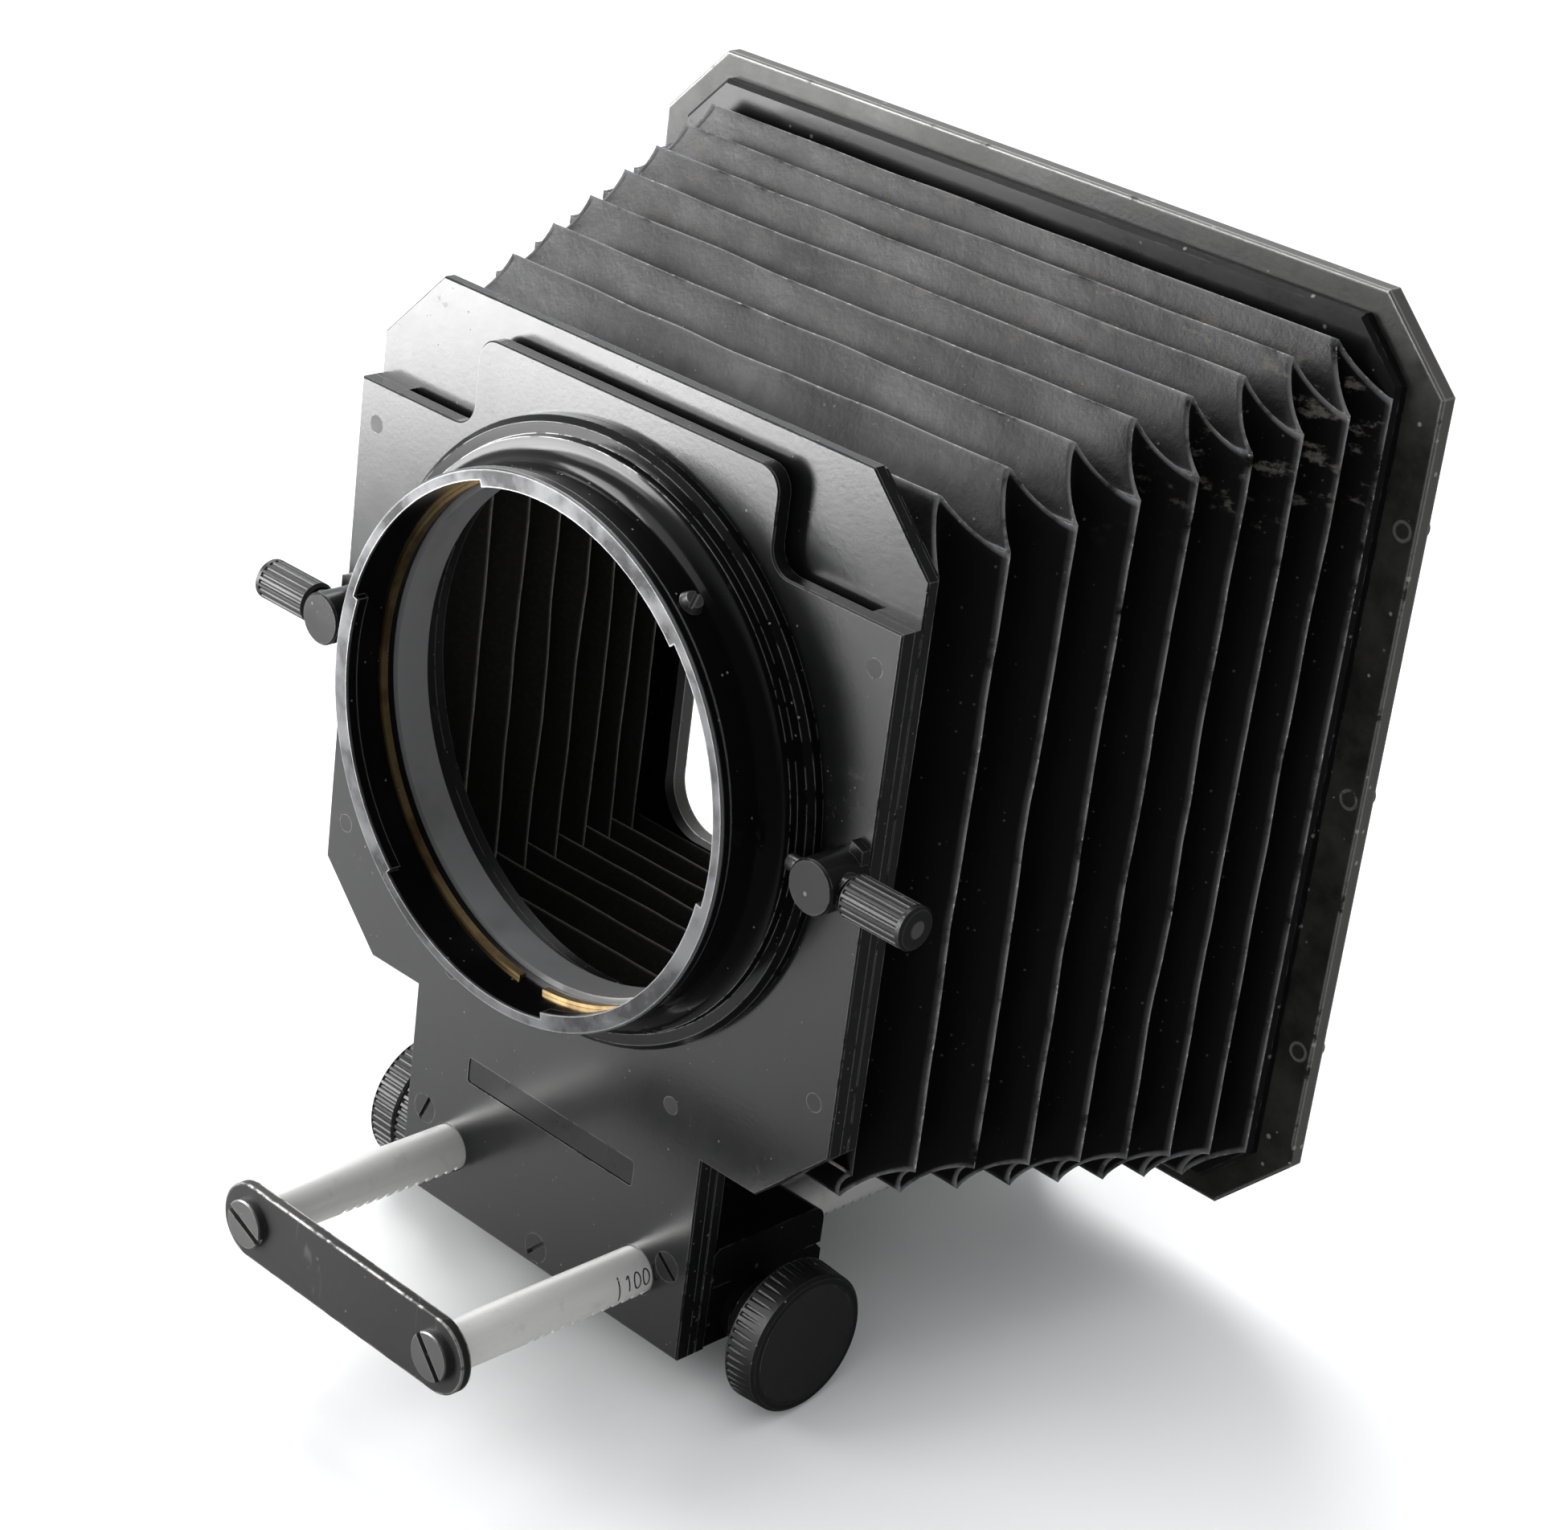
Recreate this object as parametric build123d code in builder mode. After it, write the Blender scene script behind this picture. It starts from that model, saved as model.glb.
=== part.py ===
"""Bellows lens shade with a rack and pinion drive.

The lens side faces -Y, the scene side +Y, and +Z is up. The origin is on the axis of the mounting
ring, at the front face of the cover plate. All sizes are in millimetres.
"""
import os
from math import cos, pi, radians, sin, sqrt, tan

from build123d import *

os.makedirs("parts", exist_ok=True)

# Driving dimensions ------------------------------------------------------------------------------

# Clearances
running_fit = 0.06        # radial, between pieces that turn or slide in each other
loose_fit = 0.15          # radial, where a piece only passes through
seat_gap = 0.05           # between flat faces of pieces that move past each other
touch_gap = 0.02          # radial, between a fastener and its hole

# Filter and standard plates
filter_size = 75.0        # square gelatine filter
filter_margin = 0.5       # clearance at each side of the filter
light_radius = 32.5       # round aperture behind the filter
slot_wall = 6.2           # width of the slot's side walls
cover_thickness = 1.9
spacer_thickness = 1.1
slot_plate_thickness = 1.5
front_frame_thickness = 1.3
shoulder_height = 29.0    # top of the cover plate beside its tab
tab_half_width = 24.4
tab_height = 40.4
tab_radius = 3.0
slot_plate_height = 43.8
slot_sill = 6.1           # from the slot's floor to the plates' bottom edge
lower_chamfer_run = 10.1
lower_chamfer_rise = 9.7
upper_chamfer = 9.6
tongue_half_width = 25.3
plate_chamfer = 0.2
slot_floor_gap = 1.0         # how far the slot's cut runs past the spacer's top
rivet_inset = 3.2         # from the plate's side to a rivet
sill_rivet_drop = 1.5     # from the slot's floor to the rivets below it
tongue_screw_inset = 3.3

# Mounting ring
ring_flange_radius = 37.05
ring_flange_thickness = 1.9
ring_hole_radius = ring_flange_radius - 1.95
ring_face_radius = 32.6
ring_neck_radius = 32.1
ring_bore_radius = 31.2
ring_lug_radius = 30.4
ring_height = 11.0
ring_lug_thickness = 1.7
ring_spigot_length = 1.7
lug_gap_angle = 55.5
lug_gap_centres = (17.0, 137.0, 257.0)
ring_liner_radius = 30.35  # a little inside the lugs: what passes them can seat in the liner
ring_liner_length = 4.6
ring_liner_inset = 0.2    # from the spigot's end to the liner
spring_ring_gap = 1.2     # between the liner and the spring ring
spring_ring_width = 1.0
spring_ring_depth = 0.45
stop_screw_angle = 51.3

# Catches
catch_x = ring_flange_radius + 4.45
catch_axis_y = -3.3
catch_post_radius = 3.26
catch_post_height = 6.2
catch_pin_radius = 1.0
catch_arm_length = 2.4
catch_arm_thickness = 1.1
catch_overlap = 1.5       # how far the pin reaches over the ring's flange
catch_knob_radius = 2.6
catch_knob_length = 9.4
catch_knob_flutes = 18
catch_chamber_radius = 2.05
catch_collar_length = 0.8
catch_spring_wire = 0.3
catch_spring_turns = 3

# Rods, racks and pinions
rod_radius = 3.0
rod_half_spacing = 16.9
rod_z = -63.2
rod_front = -29.7
tooth_module = 0.5
pinion_teeth = 12
rack_addendum = 0.33
rack_flat = 0.84          # how deep the rods are flattened under the racks
backlash = 0.06
pinion_width = 4.0
shaft_radius = 2.0
shaft_y = 11.5
travel_in = 30.0          # how far the scene frame can come towards the lens
travel_out = 28.5         # how far it can go away from it

# Drive housing
housing_half_width = 25.0
housing_roof = 2.1        # above the rods
housing_back = 23.5
housing_base_step = 0.2
housing_corner_radius = 2.0
bush_wall = 0.9
bush_length = 3.4
shaft_bush_radius = 2.9
shaft_bush_flange = 1.4
shaft_bush_length = 4.6
base_cover_thickness = 1.4

# Knobs
knob_radius = 9.0
knob_length = 4.7
knob_back_x = 30.6
knob_ribs = 54
lock_ring_width = 3.3
left_knob_width = 4.4
grub_radius = 0.8
left_screw_radius = 0.8

# End plate and fasteners
end_plate_radius = 4.85
end_plate_thickness = 1.3
cheese_head_radius = 3.05
cheese_head_height = 1.0
cheese_shank_radius = 1.5
rivet_radius = 1.1
tongue_screw_radius = 1.9

# Scene-side frame and bellows
frame_y = 64.2
frame_thickness = 2.2
frame_half_width = 62.5
frame_top = 60.3
frame_bottom = -57.7
frame_corner_run = 9.8
frame_corner_rise = 9.8
aperture_half_width = 47.3
aperture_top = 48.6
aperture_bottom = -47.2
aperture_radius = 7.0
retainer_half_width = 57.5
retainer_top = 57.2
retainer_bottom = -54.6
retainer_corner = 6.5
retainer_thickness = 1.6
fold_count = 8
fold_depth = 6.0
cloth_thickness = 0.7
bellows_front_half_width = 43.1
bellows_back_half_width = 57.0
bellows_front_top = 39.4
bellows_back_top = 56.0
bellows_front_bottom = -45.0
bellows_back_bottom = -54.4
fold_gather = 0.24        # how much wider the folds stand at the lens end than at the other
peg_inset = 2.0           # from the frame's side to the pegs' axes
peg_spacing = 33.5
peg_middle_z = 0.8
peg_radius = 1.5
peg_shank_radius = 1.1
peg_dome = 0.7
peg_height = 1.6
anchor_thickness = 2.0
anchor_top = -49.8

# Worked out from the driving dimensions -----------------------------------------------------------

slot_half_width = filter_size / 2 + filter_margin
plate_half_width = slot_half_width + slot_wall
plate_bottom = -slot_half_width - slot_sill
side_bottom = plate_bottom + lower_chamfer_rise   # where the lower corner chamfers start
spacer_y = cover_thickness
slot_plate_y = spacer_y + spacer_thickness
front_frame_y = slot_plate_y + slot_plate_thickness
bellows_y = front_frame_y + front_frame_thickness
bellows_end_y = frame_y - retainer_thickness
lower_chamfer_x = plate_half_width - lower_chamfer_run

rod_passage_radius = rod_radius + loose_fit
bush_bore_radius = rod_radius + running_fit
bush_outer_radius = bush_bore_radius + bush_wall
housing_y = front_frame_y
anchor_y = frame_y + frame_thickness
rod_length = anchor_y - rod_front

pitch_radius = tooth_module * pinion_teeth / 2
tooth_pitch = pi * tooth_module
rack_tip_z = rod_z - rod_radius + rack_flat
pitch_line_z = rack_tip_z + rack_addendum
rack_root_z = pitch_line_z + tooth_module + 0.12
shaft_z = pitch_line_z - pitch_radius
shaft_hole_radius = shaft_radius + running_fit
tongue_bottom = shaft_z - pitch_radius - 0.47
housing_top = rod_z + rod_radius + housing_roof
housing_split = rod_z - 0.2

housing_base_back = housing_back + housing_base_step
lock_ring_x = housing_half_width + shaft_bush_flange + 0.6
left_knob_x = lock_ring_x + lock_ring_width + 0.4
pin_tip_x = ring_flange_radius - catch_overlap
catch_knob_x = catch_x + catch_post_radius + 0.5
chamber_x = catch_x - 1.9
chamber_end_x = catch_x + catch_post_radius + 0.1
bush_in_x = chamber_end_x - 1.2

rivet_x = plate_half_width - rivet_inset
tongue_screw_x = tongue_half_width - tongue_screw_inset
rivet_places = [(rivet_x, 24.0), (rivet_x, -28.6), (19.5, -slot_half_width - sill_rivet_drop)]
rivet_places += [(-x, z) for x, z in rivet_places]
tongue_screw_places = [
    (-tongue_screw_x, rod_z + rod_radius + 0.1),
    (tongue_screw_x, rod_z + rod_radius + 0.1),
    (0.0, tongue_bottom + 2.5),
]
peg_x = frame_half_width - peg_inset
ring_step_radius = pin_tip_x - 0.55
ring_step_foot = ring_step_radius - 0.2
rod_places = [(-rod_half_spacing, rod_z), (rod_half_spacing, rod_z)]


def facing_lens(y):
    """Plane at y whose own x is +X and own y is +Z; a positive extrude goes towards the lens."""
    return Plane(origin=(0, y, 0), x_dir=(1, 0, 0), z_dir=(0, -1, 0))


def facing_right(x):
    """Plane at x whose own x is +Y and own y is +Z; a positive extrude goes to +X."""
    return Plane(origin=(x, 0, 0), x_dir=(0, 1, 0), z_dir=(1, 0, 0))


def save(piece, name):
    piece.part.label = name
    export_step(piece.part, f"parts/{name}.step")


def mirrored(points):
    """A symmetric closed outline from the points of its right half, bottom first."""
    return points + [(-x, z) for x, z in reversed(points)]


def octagon(half_width, top, bottom, run, rise):
    return mirrored([
        (half_width - run, bottom),
        (half_width, bottom + rise),
        (half_width, top - rise),
        (half_width - run, top),
    ])


def lower_outline():
    """Right half of the plate outline, from the tongue's foot up to the side."""
    return [
        (tongue_half_width, tongue_bottom),
        (tongue_half_width, plate_bottom),
        (lower_chamfer_x, plate_bottom),
        (plate_half_width, side_bottom),
    ]


def centred_on(places):
    return Locations(*places)


# Standard: the stack of plates --------------------------------------------------------------------

nameplate_width = 29.4
nameplate_height = 3.2
nameplate_z = -51.1
nameplate_recess = 0.5

with BuildPart() as cover_plate:
    with BuildSketch(facing_lens(cover_thickness)) as outline:
        shoulders = [
            (plate_half_width, shoulder_height),
            (tab_half_width, shoulder_height),
            (tab_half_width, tab_height),
        ]
        Polygon(*mirrored(lower_outline() + shoulders), align=None)
        tab_corners = [v for v in outline.vertices() if abs(abs(v.X) - tab_half_width) < 0.01]
        fillet([v for v in tab_corners if v.Z > plate_bottom + 20], radius=tab_radius)
        Circle(ring_hole_radius, mode=Mode.SUBTRACT)
    extrude(amount=cover_thickness)
    with BuildSketch(facing_lens(cover_thickness)):
        with centred_on(rod_places):
            Circle(rod_passage_radius)
        with centred_on(rivet_places):
            Circle(rivet_radius + touch_gap)
        with centred_on(tongue_screw_places):
            Circle(1.0 + touch_gap)
    extrude(amount=cover_thickness, mode=Mode.SUBTRACT)
    with Locations(*[facing_lens(0) * Pos(x, z, 0) for x, z in tongue_screw_places]):
        CounterSinkHole(1.0 + touch_gap, tongue_screw_radius + touch_gap, depth=cover_thickness)
    with BuildSketch(facing_lens(nameplate_recess)):
        with Locations((0, nameplate_z)):
            RectangleRounded(nameplate_width + 0.2, nameplate_height + 0.2, 0.5)
    extrude(amount=nameplate_recess, mode=Mode.SUBTRACT)
    front_rim = cover_plate.faces().filter_by(Axis.Y).sort_by(Axis.Y)[0].outer_wire().edges()
    chamfer(front_rim, length=plate_chamfer)
save(cover_plate, "cover_plate")

with BuildPart() as nameplate:
    with BuildSketch(facing_lens(nameplate_recess)):
        with Locations((0, nameplate_z)):
            RectangleRounded(nameplate_width, nameplate_height, 0.45)
    extrude(amount=0.35)
save(nameplate, "nameplate")

with BuildPart() as slot_spacer:
    with BuildSketch(facing_lens(slot_plate_y)):
        Polygon(*mirrored(lower_outline() + [(plate_half_width, shoulder_height)]), align=None)
        slot_floor = -slot_half_width
        slot_rise = shoulder_height - slot_floor + slot_floor_gap
        with Locations((0, slot_floor + slot_rise / 2)):
            Rectangle(2 * slot_half_width, slot_rise, mode=Mode.SUBTRACT)
        with centred_on(rod_places):
            Circle(rod_passage_radius, mode=Mode.SUBTRACT)
        with centred_on(rivet_places):
            Circle(rivet_radius + touch_gap, mode=Mode.SUBTRACT)
        with centred_on(tongue_screw_places):
            Circle(1.0 + touch_gap, mode=Mode.SUBTRACT)
    extrude(amount=spacer_thickness)
save(slot_spacer, "slot_spacer")

with BuildPart() as slot_plate:
    with BuildSketch(facing_lens(front_frame_y)):
        top_corner = [
            (plate_half_width, slot_plate_height - upper_chamfer),
            (plate_half_width - upper_chamfer, slot_plate_height),
        ]
        Polygon(*mirrored(lower_outline() + top_corner), align=None)
        Circle(light_radius, mode=Mode.SUBTRACT)
        with centred_on(rod_places):
            Circle(rod_passage_radius, mode=Mode.SUBTRACT)
        with centred_on(rivet_places):
            Circle(rivet_radius + touch_gap, mode=Mode.SUBTRACT)
        with centred_on(tongue_screw_places):
            Circle(1.0 + touch_gap, mode=Mode.SUBTRACT)
    extrude(amount=slot_plate_thickness)
    front_rim = slot_plate.faces().filter_by(Axis.Y).sort_by(Axis.Y)[0].outer_wire().edges()
    chamfer(front_rim, length=plate_chamfer)
save(slot_plate, "slot_plate")

front_frame_half = bellows_front_half_width
with BuildPart() as bellows_front_frame:
    with BuildSketch(facing_lens(bellows_y)):
        frame_outline = octagon(front_frame_half, front_frame_half, -front_frame_half, 9.0, 9.0)
        Polygon(*frame_outline, align=None)
        Circle(light_radius, mode=Mode.SUBTRACT)
    extrude(amount=front_frame_thickness)
save(bellows_front_frame, "bellows_front_frame")

with BuildPart() as plate_rivets:
    with BuildSketch(facing_lens(front_frame_y)):
        with centred_on(rivet_places):
            Circle(rivet_radius)
    extrude(amount=front_frame_y)
save(plate_rivets, "plate_rivets")

tongue_screw_length = front_frame_y + 3.6
with BuildPart() as tongue_screws:
    with Locations(*[facing_lens(0) * Pos(x, z, 0) for x, z in tongue_screw_places]):
        Cylinder(1.0, tongue_screw_length, align=(Align.CENTER, Align.CENTER, Align.MAX))
        Cone(
            1.0,
            tongue_screw_radius,
            tongue_screw_radius - 1.0,
            align=(Align.CENTER, Align.CENTER, Align.MAX),
        )
    for (x, z), turn in zip(tongue_screw_places, (66, -38, 43)):
        with Locations(facing_lens(0) * Pos(x, z, 0) * Rot(0, 0, turn)):
            Box(5, 0.55, 1.0, mode=Mode.SUBTRACT)
save(tongue_screws, "tongue_screws")

# Mounting ring ------------------------------------------------------------------------------------

ring_front = -ring_height
flange_front = -ring_flange_thickness
with BuildPart() as mounting_ring:
    with BuildSketch(Plane.XY):
        with BuildLine():
            Polyline(
                (ring_bore_radius, ring_spigot_length),
                (ring_hole_radius - running_fit, ring_spigot_length),
                (ring_hole_radius - running_fit, -seat_gap),
                (ring_flange_radius, -seat_gap),
                (ring_flange_radius, flange_front + 0.7),
                (ring_flange_radius - 0.7, flange_front),
                (ring_step_radius, flange_front),
                (ring_step_foot, flange_front - 0.9),
            )
            ThreePointArc(
                (ring_step_foot, flange_front - 0.9),
                (ring_neck_radius + 0.75, flange_front - 1.75),
                (ring_neck_radius, flange_front - 4.2),
            )
            Polyline(
                (ring_neck_radius, flange_front - 4.2),
                (ring_neck_radius, ring_front + 1.9),
                (ring_face_radius, ring_front + 1.4),
                (ring_face_radius, ring_front + 0.2),
                (ring_face_radius - 0.2, ring_front),
                (ring_lug_radius, ring_front),
                (ring_lug_radius, ring_front + ring_lug_thickness),
                (ring_bore_radius, ring_front + ring_lug_thickness),
                (ring_bore_radius, ring_spigot_length),
            )
        make_face()
    revolve(axis=Axis.Y)
    for centre in lug_gap_centres:
        start = centre - lug_gap_angle / 2
        with BuildSketch(facing_lens(ring_front + ring_lug_thickness)):
            with BuildLine():
                inner = CenterArc((0, 0), ring_lug_radius - 1, start, lug_gap_angle)
                outer = CenterArc((0, 0), ring_bore_radius, start, lug_gap_angle)
                Line(inner @ 0, outer @ 0)
                Line(inner @ 1, outer @ 1)
            make_face()
        extrude(amount=ring_lug_thickness, mode=Mode.SUBTRACT)
    stop_axis = Plane(
        origin=(0, ring_front + 4.0, 0),
        z_dir=(cos(radians(stop_screw_angle)), 0, sin(radians(stop_screw_angle))),
        x_dir=(0, 1, 0),
    )
    with Locations(stop_axis * Pos(0, 0, ring_neck_radius)):
        Cylinder(0.8 + touch_gap, 3.0, mode=Mode.SUBTRACT)
save(mounting_ring, "mounting_ring")

with BuildPart() as ring_stop_screw:
    with Locations(stop_axis * Pos(0, 0, ring_neck_radius + 0.05)):
        Cylinder(0.8, 1.3, align=(Align.CENTER, Align.CENTER, Align.MAX))
    with BuildSketch(stop_axis.offset(ring_neck_radius + 0.05)):
        Circle(1.45)
    extrude(amount=0.9, taper=24)
    with Locations(stop_axis * Pos(0, 0, ring_neck_radius + 1.1) * Rot(0, 0, 35)):
        Box(4, 0.45, 0.9, mode=Mode.SUBTRACT)
save(ring_stop_screw, "ring_stop_screw")

liner_back = ring_spigot_length - ring_liner_inset
with BuildPart() as ring_liner:
    with BuildSketch(facing_lens(liner_back)):
        Circle(ring_bore_radius - touch_gap)
        Circle(ring_liner_radius, mode=Mode.SUBTRACT)
    extrude(amount=ring_liner_length)
save(ring_liner, "ring_liner")

spring_back = liner_back - ring_liner_length - spring_ring_gap
with BuildPart() as ring_spring:
    with BuildSketch(facing_lens(spring_back)):
        Circle(ring_bore_radius - touch_gap)
        Circle(ring_bore_radius - spring_ring_depth, mode=Mode.SUBTRACT)
        with Locations((0, -ring_bore_radius)):
            Rectangle(4, 3, mode=Mode.SUBTRACT)
    extrude(amount=spring_ring_width)
save(ring_spring, "ring_spring")

# Catches ------------------------------------------------------------------------------------------

def to_side(side):
    """Plane on the catch axis whose normal points outward; side is 1 for right and -1 for left."""
    return Plane(origin=(0, catch_axis_y, 0), x_dir=(0, 0, 1), z_dir=(side, 0, 0))


spring_start = chamber_x + seat_gap + catch_collar_length
coil_length = bush_in_x - spring_start - catch_spring_wire - 0.04
coil_radius = (catch_pin_radius + catch_chamber_radius) / 2

with BuildPart() as coil_spring:
    with BuildLine() as coil:
        Helix(pitch=coil_length / catch_spring_turns, height=coil_length, radius=coil_radius)
    with BuildSketch(Plane(origin=coil.line @ 0, z_dir=coil.line % 0)):
        Circle(catch_spring_wire / 2)
    sweep()

for side, name in ((1, "right"), (-1, "left")):
    axis_plane = to_side(side)
    with BuildPart() as catch_post:
        with BuildSketch(facing_lens(0)):
            with Locations((side * catch_x, 0)):
                Circle(catch_post_radius)
        extrude(amount=catch_post_height)
        top_edges = catch_post.edges().filter_by(GeomType.CIRCLE).sort_by(Axis.Y)[0]
        chamfer(top_edges, length=0.25)
        with BuildSketch(facing_lens(0)):
            arm_end = catch_x + catch_arm_length
            with BuildLine():
                Polyline(
                    (side * catch_x, -2.3),
                    (side * arm_end, -1.5),
                    (side * arm_end, 3.9),
                    (side * (catch_x + 0.6), 4.6),
                    (side * catch_x, -2.3),
                )
            make_face()
        extrude(amount=catch_arm_thickness)
        with Locations(axis_plane * Pos(0, 0, pin_tip_x)):
            Cylinder(
                catch_pin_radius + running_fit,
                12,
                align=(Align.CENTER, Align.CENTER, Align.MIN),
                mode=Mode.SUBTRACT,
            )
        with Locations(axis_plane * Pos(0, 0, chamber_x)):
            Cylinder(
                catch_chamber_radius,
                8,
                align=(Align.CENTER, Align.CENTER, Align.MIN),
                mode=Mode.SUBTRACT,
            )
    save(catch_post, f"catch_post_{name}")

    with BuildPart() as catch_bush:
        with BuildSketch(axis_plane.offset(bush_in_x)):
            Circle(catch_chamber_radius - touch_gap)
            Circle(catch_pin_radius + running_fit, mode=Mode.SUBTRACT)
        extrude(amount=chamber_end_x - bush_in_x)
    save(catch_bush, f"catch_bush_{name}")

    with BuildPart() as catch_pin:
        with BuildSketch(axis_plane.offset(pin_tip_x)):
            Circle(catch_pin_radius)
        extrude(amount=catch_knob_x + catch_knob_length + 0.05 - pin_tip_x)
        with BuildSketch(axis_plane.offset(chamber_x + seat_gap)):
            Circle(catch_chamber_radius - 0.15)
        extrude(amount=catch_collar_length)
        tip = catch_pin.edges().filter_by(GeomType.CIRCLE)
        tip = tip.sort_by(Axis.X, reverse=side < 0)[0]
        chamfer(tip, length=0.3)
    save(catch_pin, f"catch_pin_{name}")

    with BuildPart() as catch_spring:
        with Locations(axis_plane * Pos(0, 0, spring_start + catch_spring_wire / 2 + 0.02)):
            add(coil_spring.part)
    save(catch_spring, f"catch_spring_{name}")

    with BuildPart() as catch_knob:
        with BuildSketch(axis_plane.offset(catch_knob_x)):
            Circle(catch_knob_radius)
            Circle(catch_pin_radius + touch_gap, mode=Mode.SUBTRACT)
        extrude(amount=catch_knob_length)
        knob_rims = catch_knob.edges().filter_by(GeomType.CIRCLE)
        knob_rims = knob_rims.filter_by(lambda e: e.radius > catch_knob_radius - 0.1)
        chamfer(knob_rims, length=0.35)
        with BuildSketch(axis_plane.offset(catch_knob_x + 0.4)):
            with PolarLocations(catch_knob_radius + 0.12, catch_knob_flutes):
                Circle(0.32)
        extrude(amount=catch_knob_length - 1.3, mode=Mode.SUBTRACT)
    save(catch_knob, f"catch_knob_{name}")

# Drive housing ------------------------------------------------------------------------------------

housing_depth = housing_back - housing_y
base_depth = housing_base_back - housing_y
pinion_tip_radius = pitch_radius + tooth_module
pocket_radius = pinion_tip_radius + 0.5
pocket_width = pinion_width + 0.6
base_screw_places = [(x, y) for x in (-8.0, 8.0) for y in (7.2, housing_base_back - 4.6)]
base_screw_radius = 1.0
base_screw_head = 1.9
base_cover_bottom = tongue_bottom - base_cover_thickness
base_screw_top = housing_top - 1.2

with BuildPart() as drive_housing:
    with BuildSketch(facing_right(-housing_half_width)) as side_view:
        with Locations((housing_y, housing_split)):
            Rectangle(
                housing_depth, housing_top - housing_split, align=(Align.MIN, Align.MIN)
            )
        back_corners = side_view.vertices().group_by(Axis.Y)[-1]
        fillet(back_corners.sort_by(Axis.Z)[-1], radius=housing_corner_radius)
        chamfer(side_view.vertices().sort_by(lambda v: v.Z - v.Y)[0], length=1.1)
    extrude(amount=2 * housing_half_width)
    with Locations(*[facing_lens(housing_y) * Pos(x, z, 0) for x, z in rod_places]):
        Cylinder(bush_outer_radius + touch_gap, 80, mode=Mode.SUBTRACT)
    with BuildSketch(facing_lens(housing_y)):
        with centred_on(tongue_screw_places[:2]):
            Circle(1.0 + touch_gap)
    extrude(amount=-4.0, mode=Mode.SUBTRACT)
    with BuildSketch(Plane.XY.offset(housing_split)):
        with centred_on(base_screw_places):
            Circle(base_screw_radius + touch_gap)
    extrude(amount=base_screw_top + 0.2 - housing_split, mode=Mode.SUBTRACT)
save(drive_housing, "drive_housing")

with BuildPart() as drive_base:
    with BuildSketch(facing_right(-housing_half_width)) as side_view:
        with Locations((housing_y, tongue_bottom)):
            Rectangle(base_depth, housing_split - tongue_bottom, align=(Align.MIN, Align.MIN))
        chamfer(side_view.vertices().sort_by(lambda v: -v.Z - v.Y)[0], length=1.0)
    extrude(amount=2 * housing_half_width)
    with Locations(*[facing_lens(housing_y) * Pos(x, z, 0) for x, z in rod_places]):
        Cylinder(bush_outer_radius + touch_gap, 80, mode=Mode.SUBTRACT)
    with Locations(facing_right(0) * Pos(shaft_y, shaft_z, 0)):
        Cylinder(shaft_radius + 0.2, 3 * housing_half_width, mode=Mode.SUBTRACT)
    for side in (1, -1):
        with Locations(facing_right(side * rod_half_spacing) * Pos(shaft_y, shaft_z, 0)):
            Cylinder(pocket_radius, pocket_width, mode=Mode.SUBTRACT)
            Box(2 * pocket_radius, 14, pocket_width, mode=Mode.SUBTRACT)
        with Locations(facing_right(side * housing_half_width) * Pos(shaft_y, shaft_z, 0)):
            Cylinder(
                shaft_bush_radius + touch_gap, 2 * shaft_bush_length, mode=Mode.SUBTRACT
            )
    with BuildSketch(facing_lens(housing_y)):
        with centred_on(tongue_screw_places[2:]):
            Circle(1.0 + touch_gap)
    extrude(amount=-4.0, mode=Mode.SUBTRACT)
    with BuildSketch(Plane.XY.offset(tongue_bottom)):
        with centred_on(base_screw_places):
            Circle(base_screw_radius + touch_gap)
    extrude(amount=housing_split - tongue_bottom, mode=Mode.SUBTRACT)
save(drive_base, "drive_base")

with BuildPart() as base_cover:
    with BuildSketch(Plane.XY.offset(base_cover_bottom)):
        with Locations((0, housing_y + base_depth / 2)):
            RectangleRounded(2 * (housing_half_width - 3.5), base_depth - 2.4, 1.5)
    extrude(amount=base_cover_thickness)
    for side in (1, -1):
        with BuildSketch(Plane.XY.offset(tongue_bottom - 0.7)):
            with Locations((side * rod_half_spacing, shaft_y)):
                Rectangle(pocket_width, 2 * pocket_radius)
        extrude(amount=0.7, mode=Mode.SUBTRACT)
    flipped = Plane(origin=(0, 0, base_cover_bottom), x_dir=(1, 0, 0), z_dir=(0, 0, -1))
    with Locations(*[flipped * Pos(x, -y, 0) for x, y in base_screw_places]):
        CounterSinkHole(
            base_screw_radius + touch_gap, base_screw_head + touch_gap, base_cover_thickness
        )
save(base_cover, "base_cover")

with BuildPart() as base_screws:
    with Locations(*[flipped * Pos(x, -y, 0) for x, y in base_screw_places]):
        Cylinder(
            base_screw_radius,
            base_screw_top - base_cover_bottom,
            align=(Align.CENTER, Align.CENTER, Align.MAX),
        )
        Cone(
            base_screw_radius,
            base_screw_head,
            base_screw_head - base_screw_radius,
            align=(Align.CENTER, Align.CENTER, Align.MAX),
        )
        Box(5, 0.5, 0.8, mode=Mode.SUBTRACT)
save(base_screws, "base_screws")

for name, back in (("front", housing_y + bush_length), ("rear", housing_back)):
    with BuildPart() as rod_bushes:
        with BuildSketch(facing_lens(back)):
            with centred_on(rod_places):
                Circle(bush_outer_radius)
                Circle(bush_bore_radius, mode=Mode.SUBTRACT)
        extrude(amount=bush_length)
    save(rod_bushes, f"rod_bushes_{name}")

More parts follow.
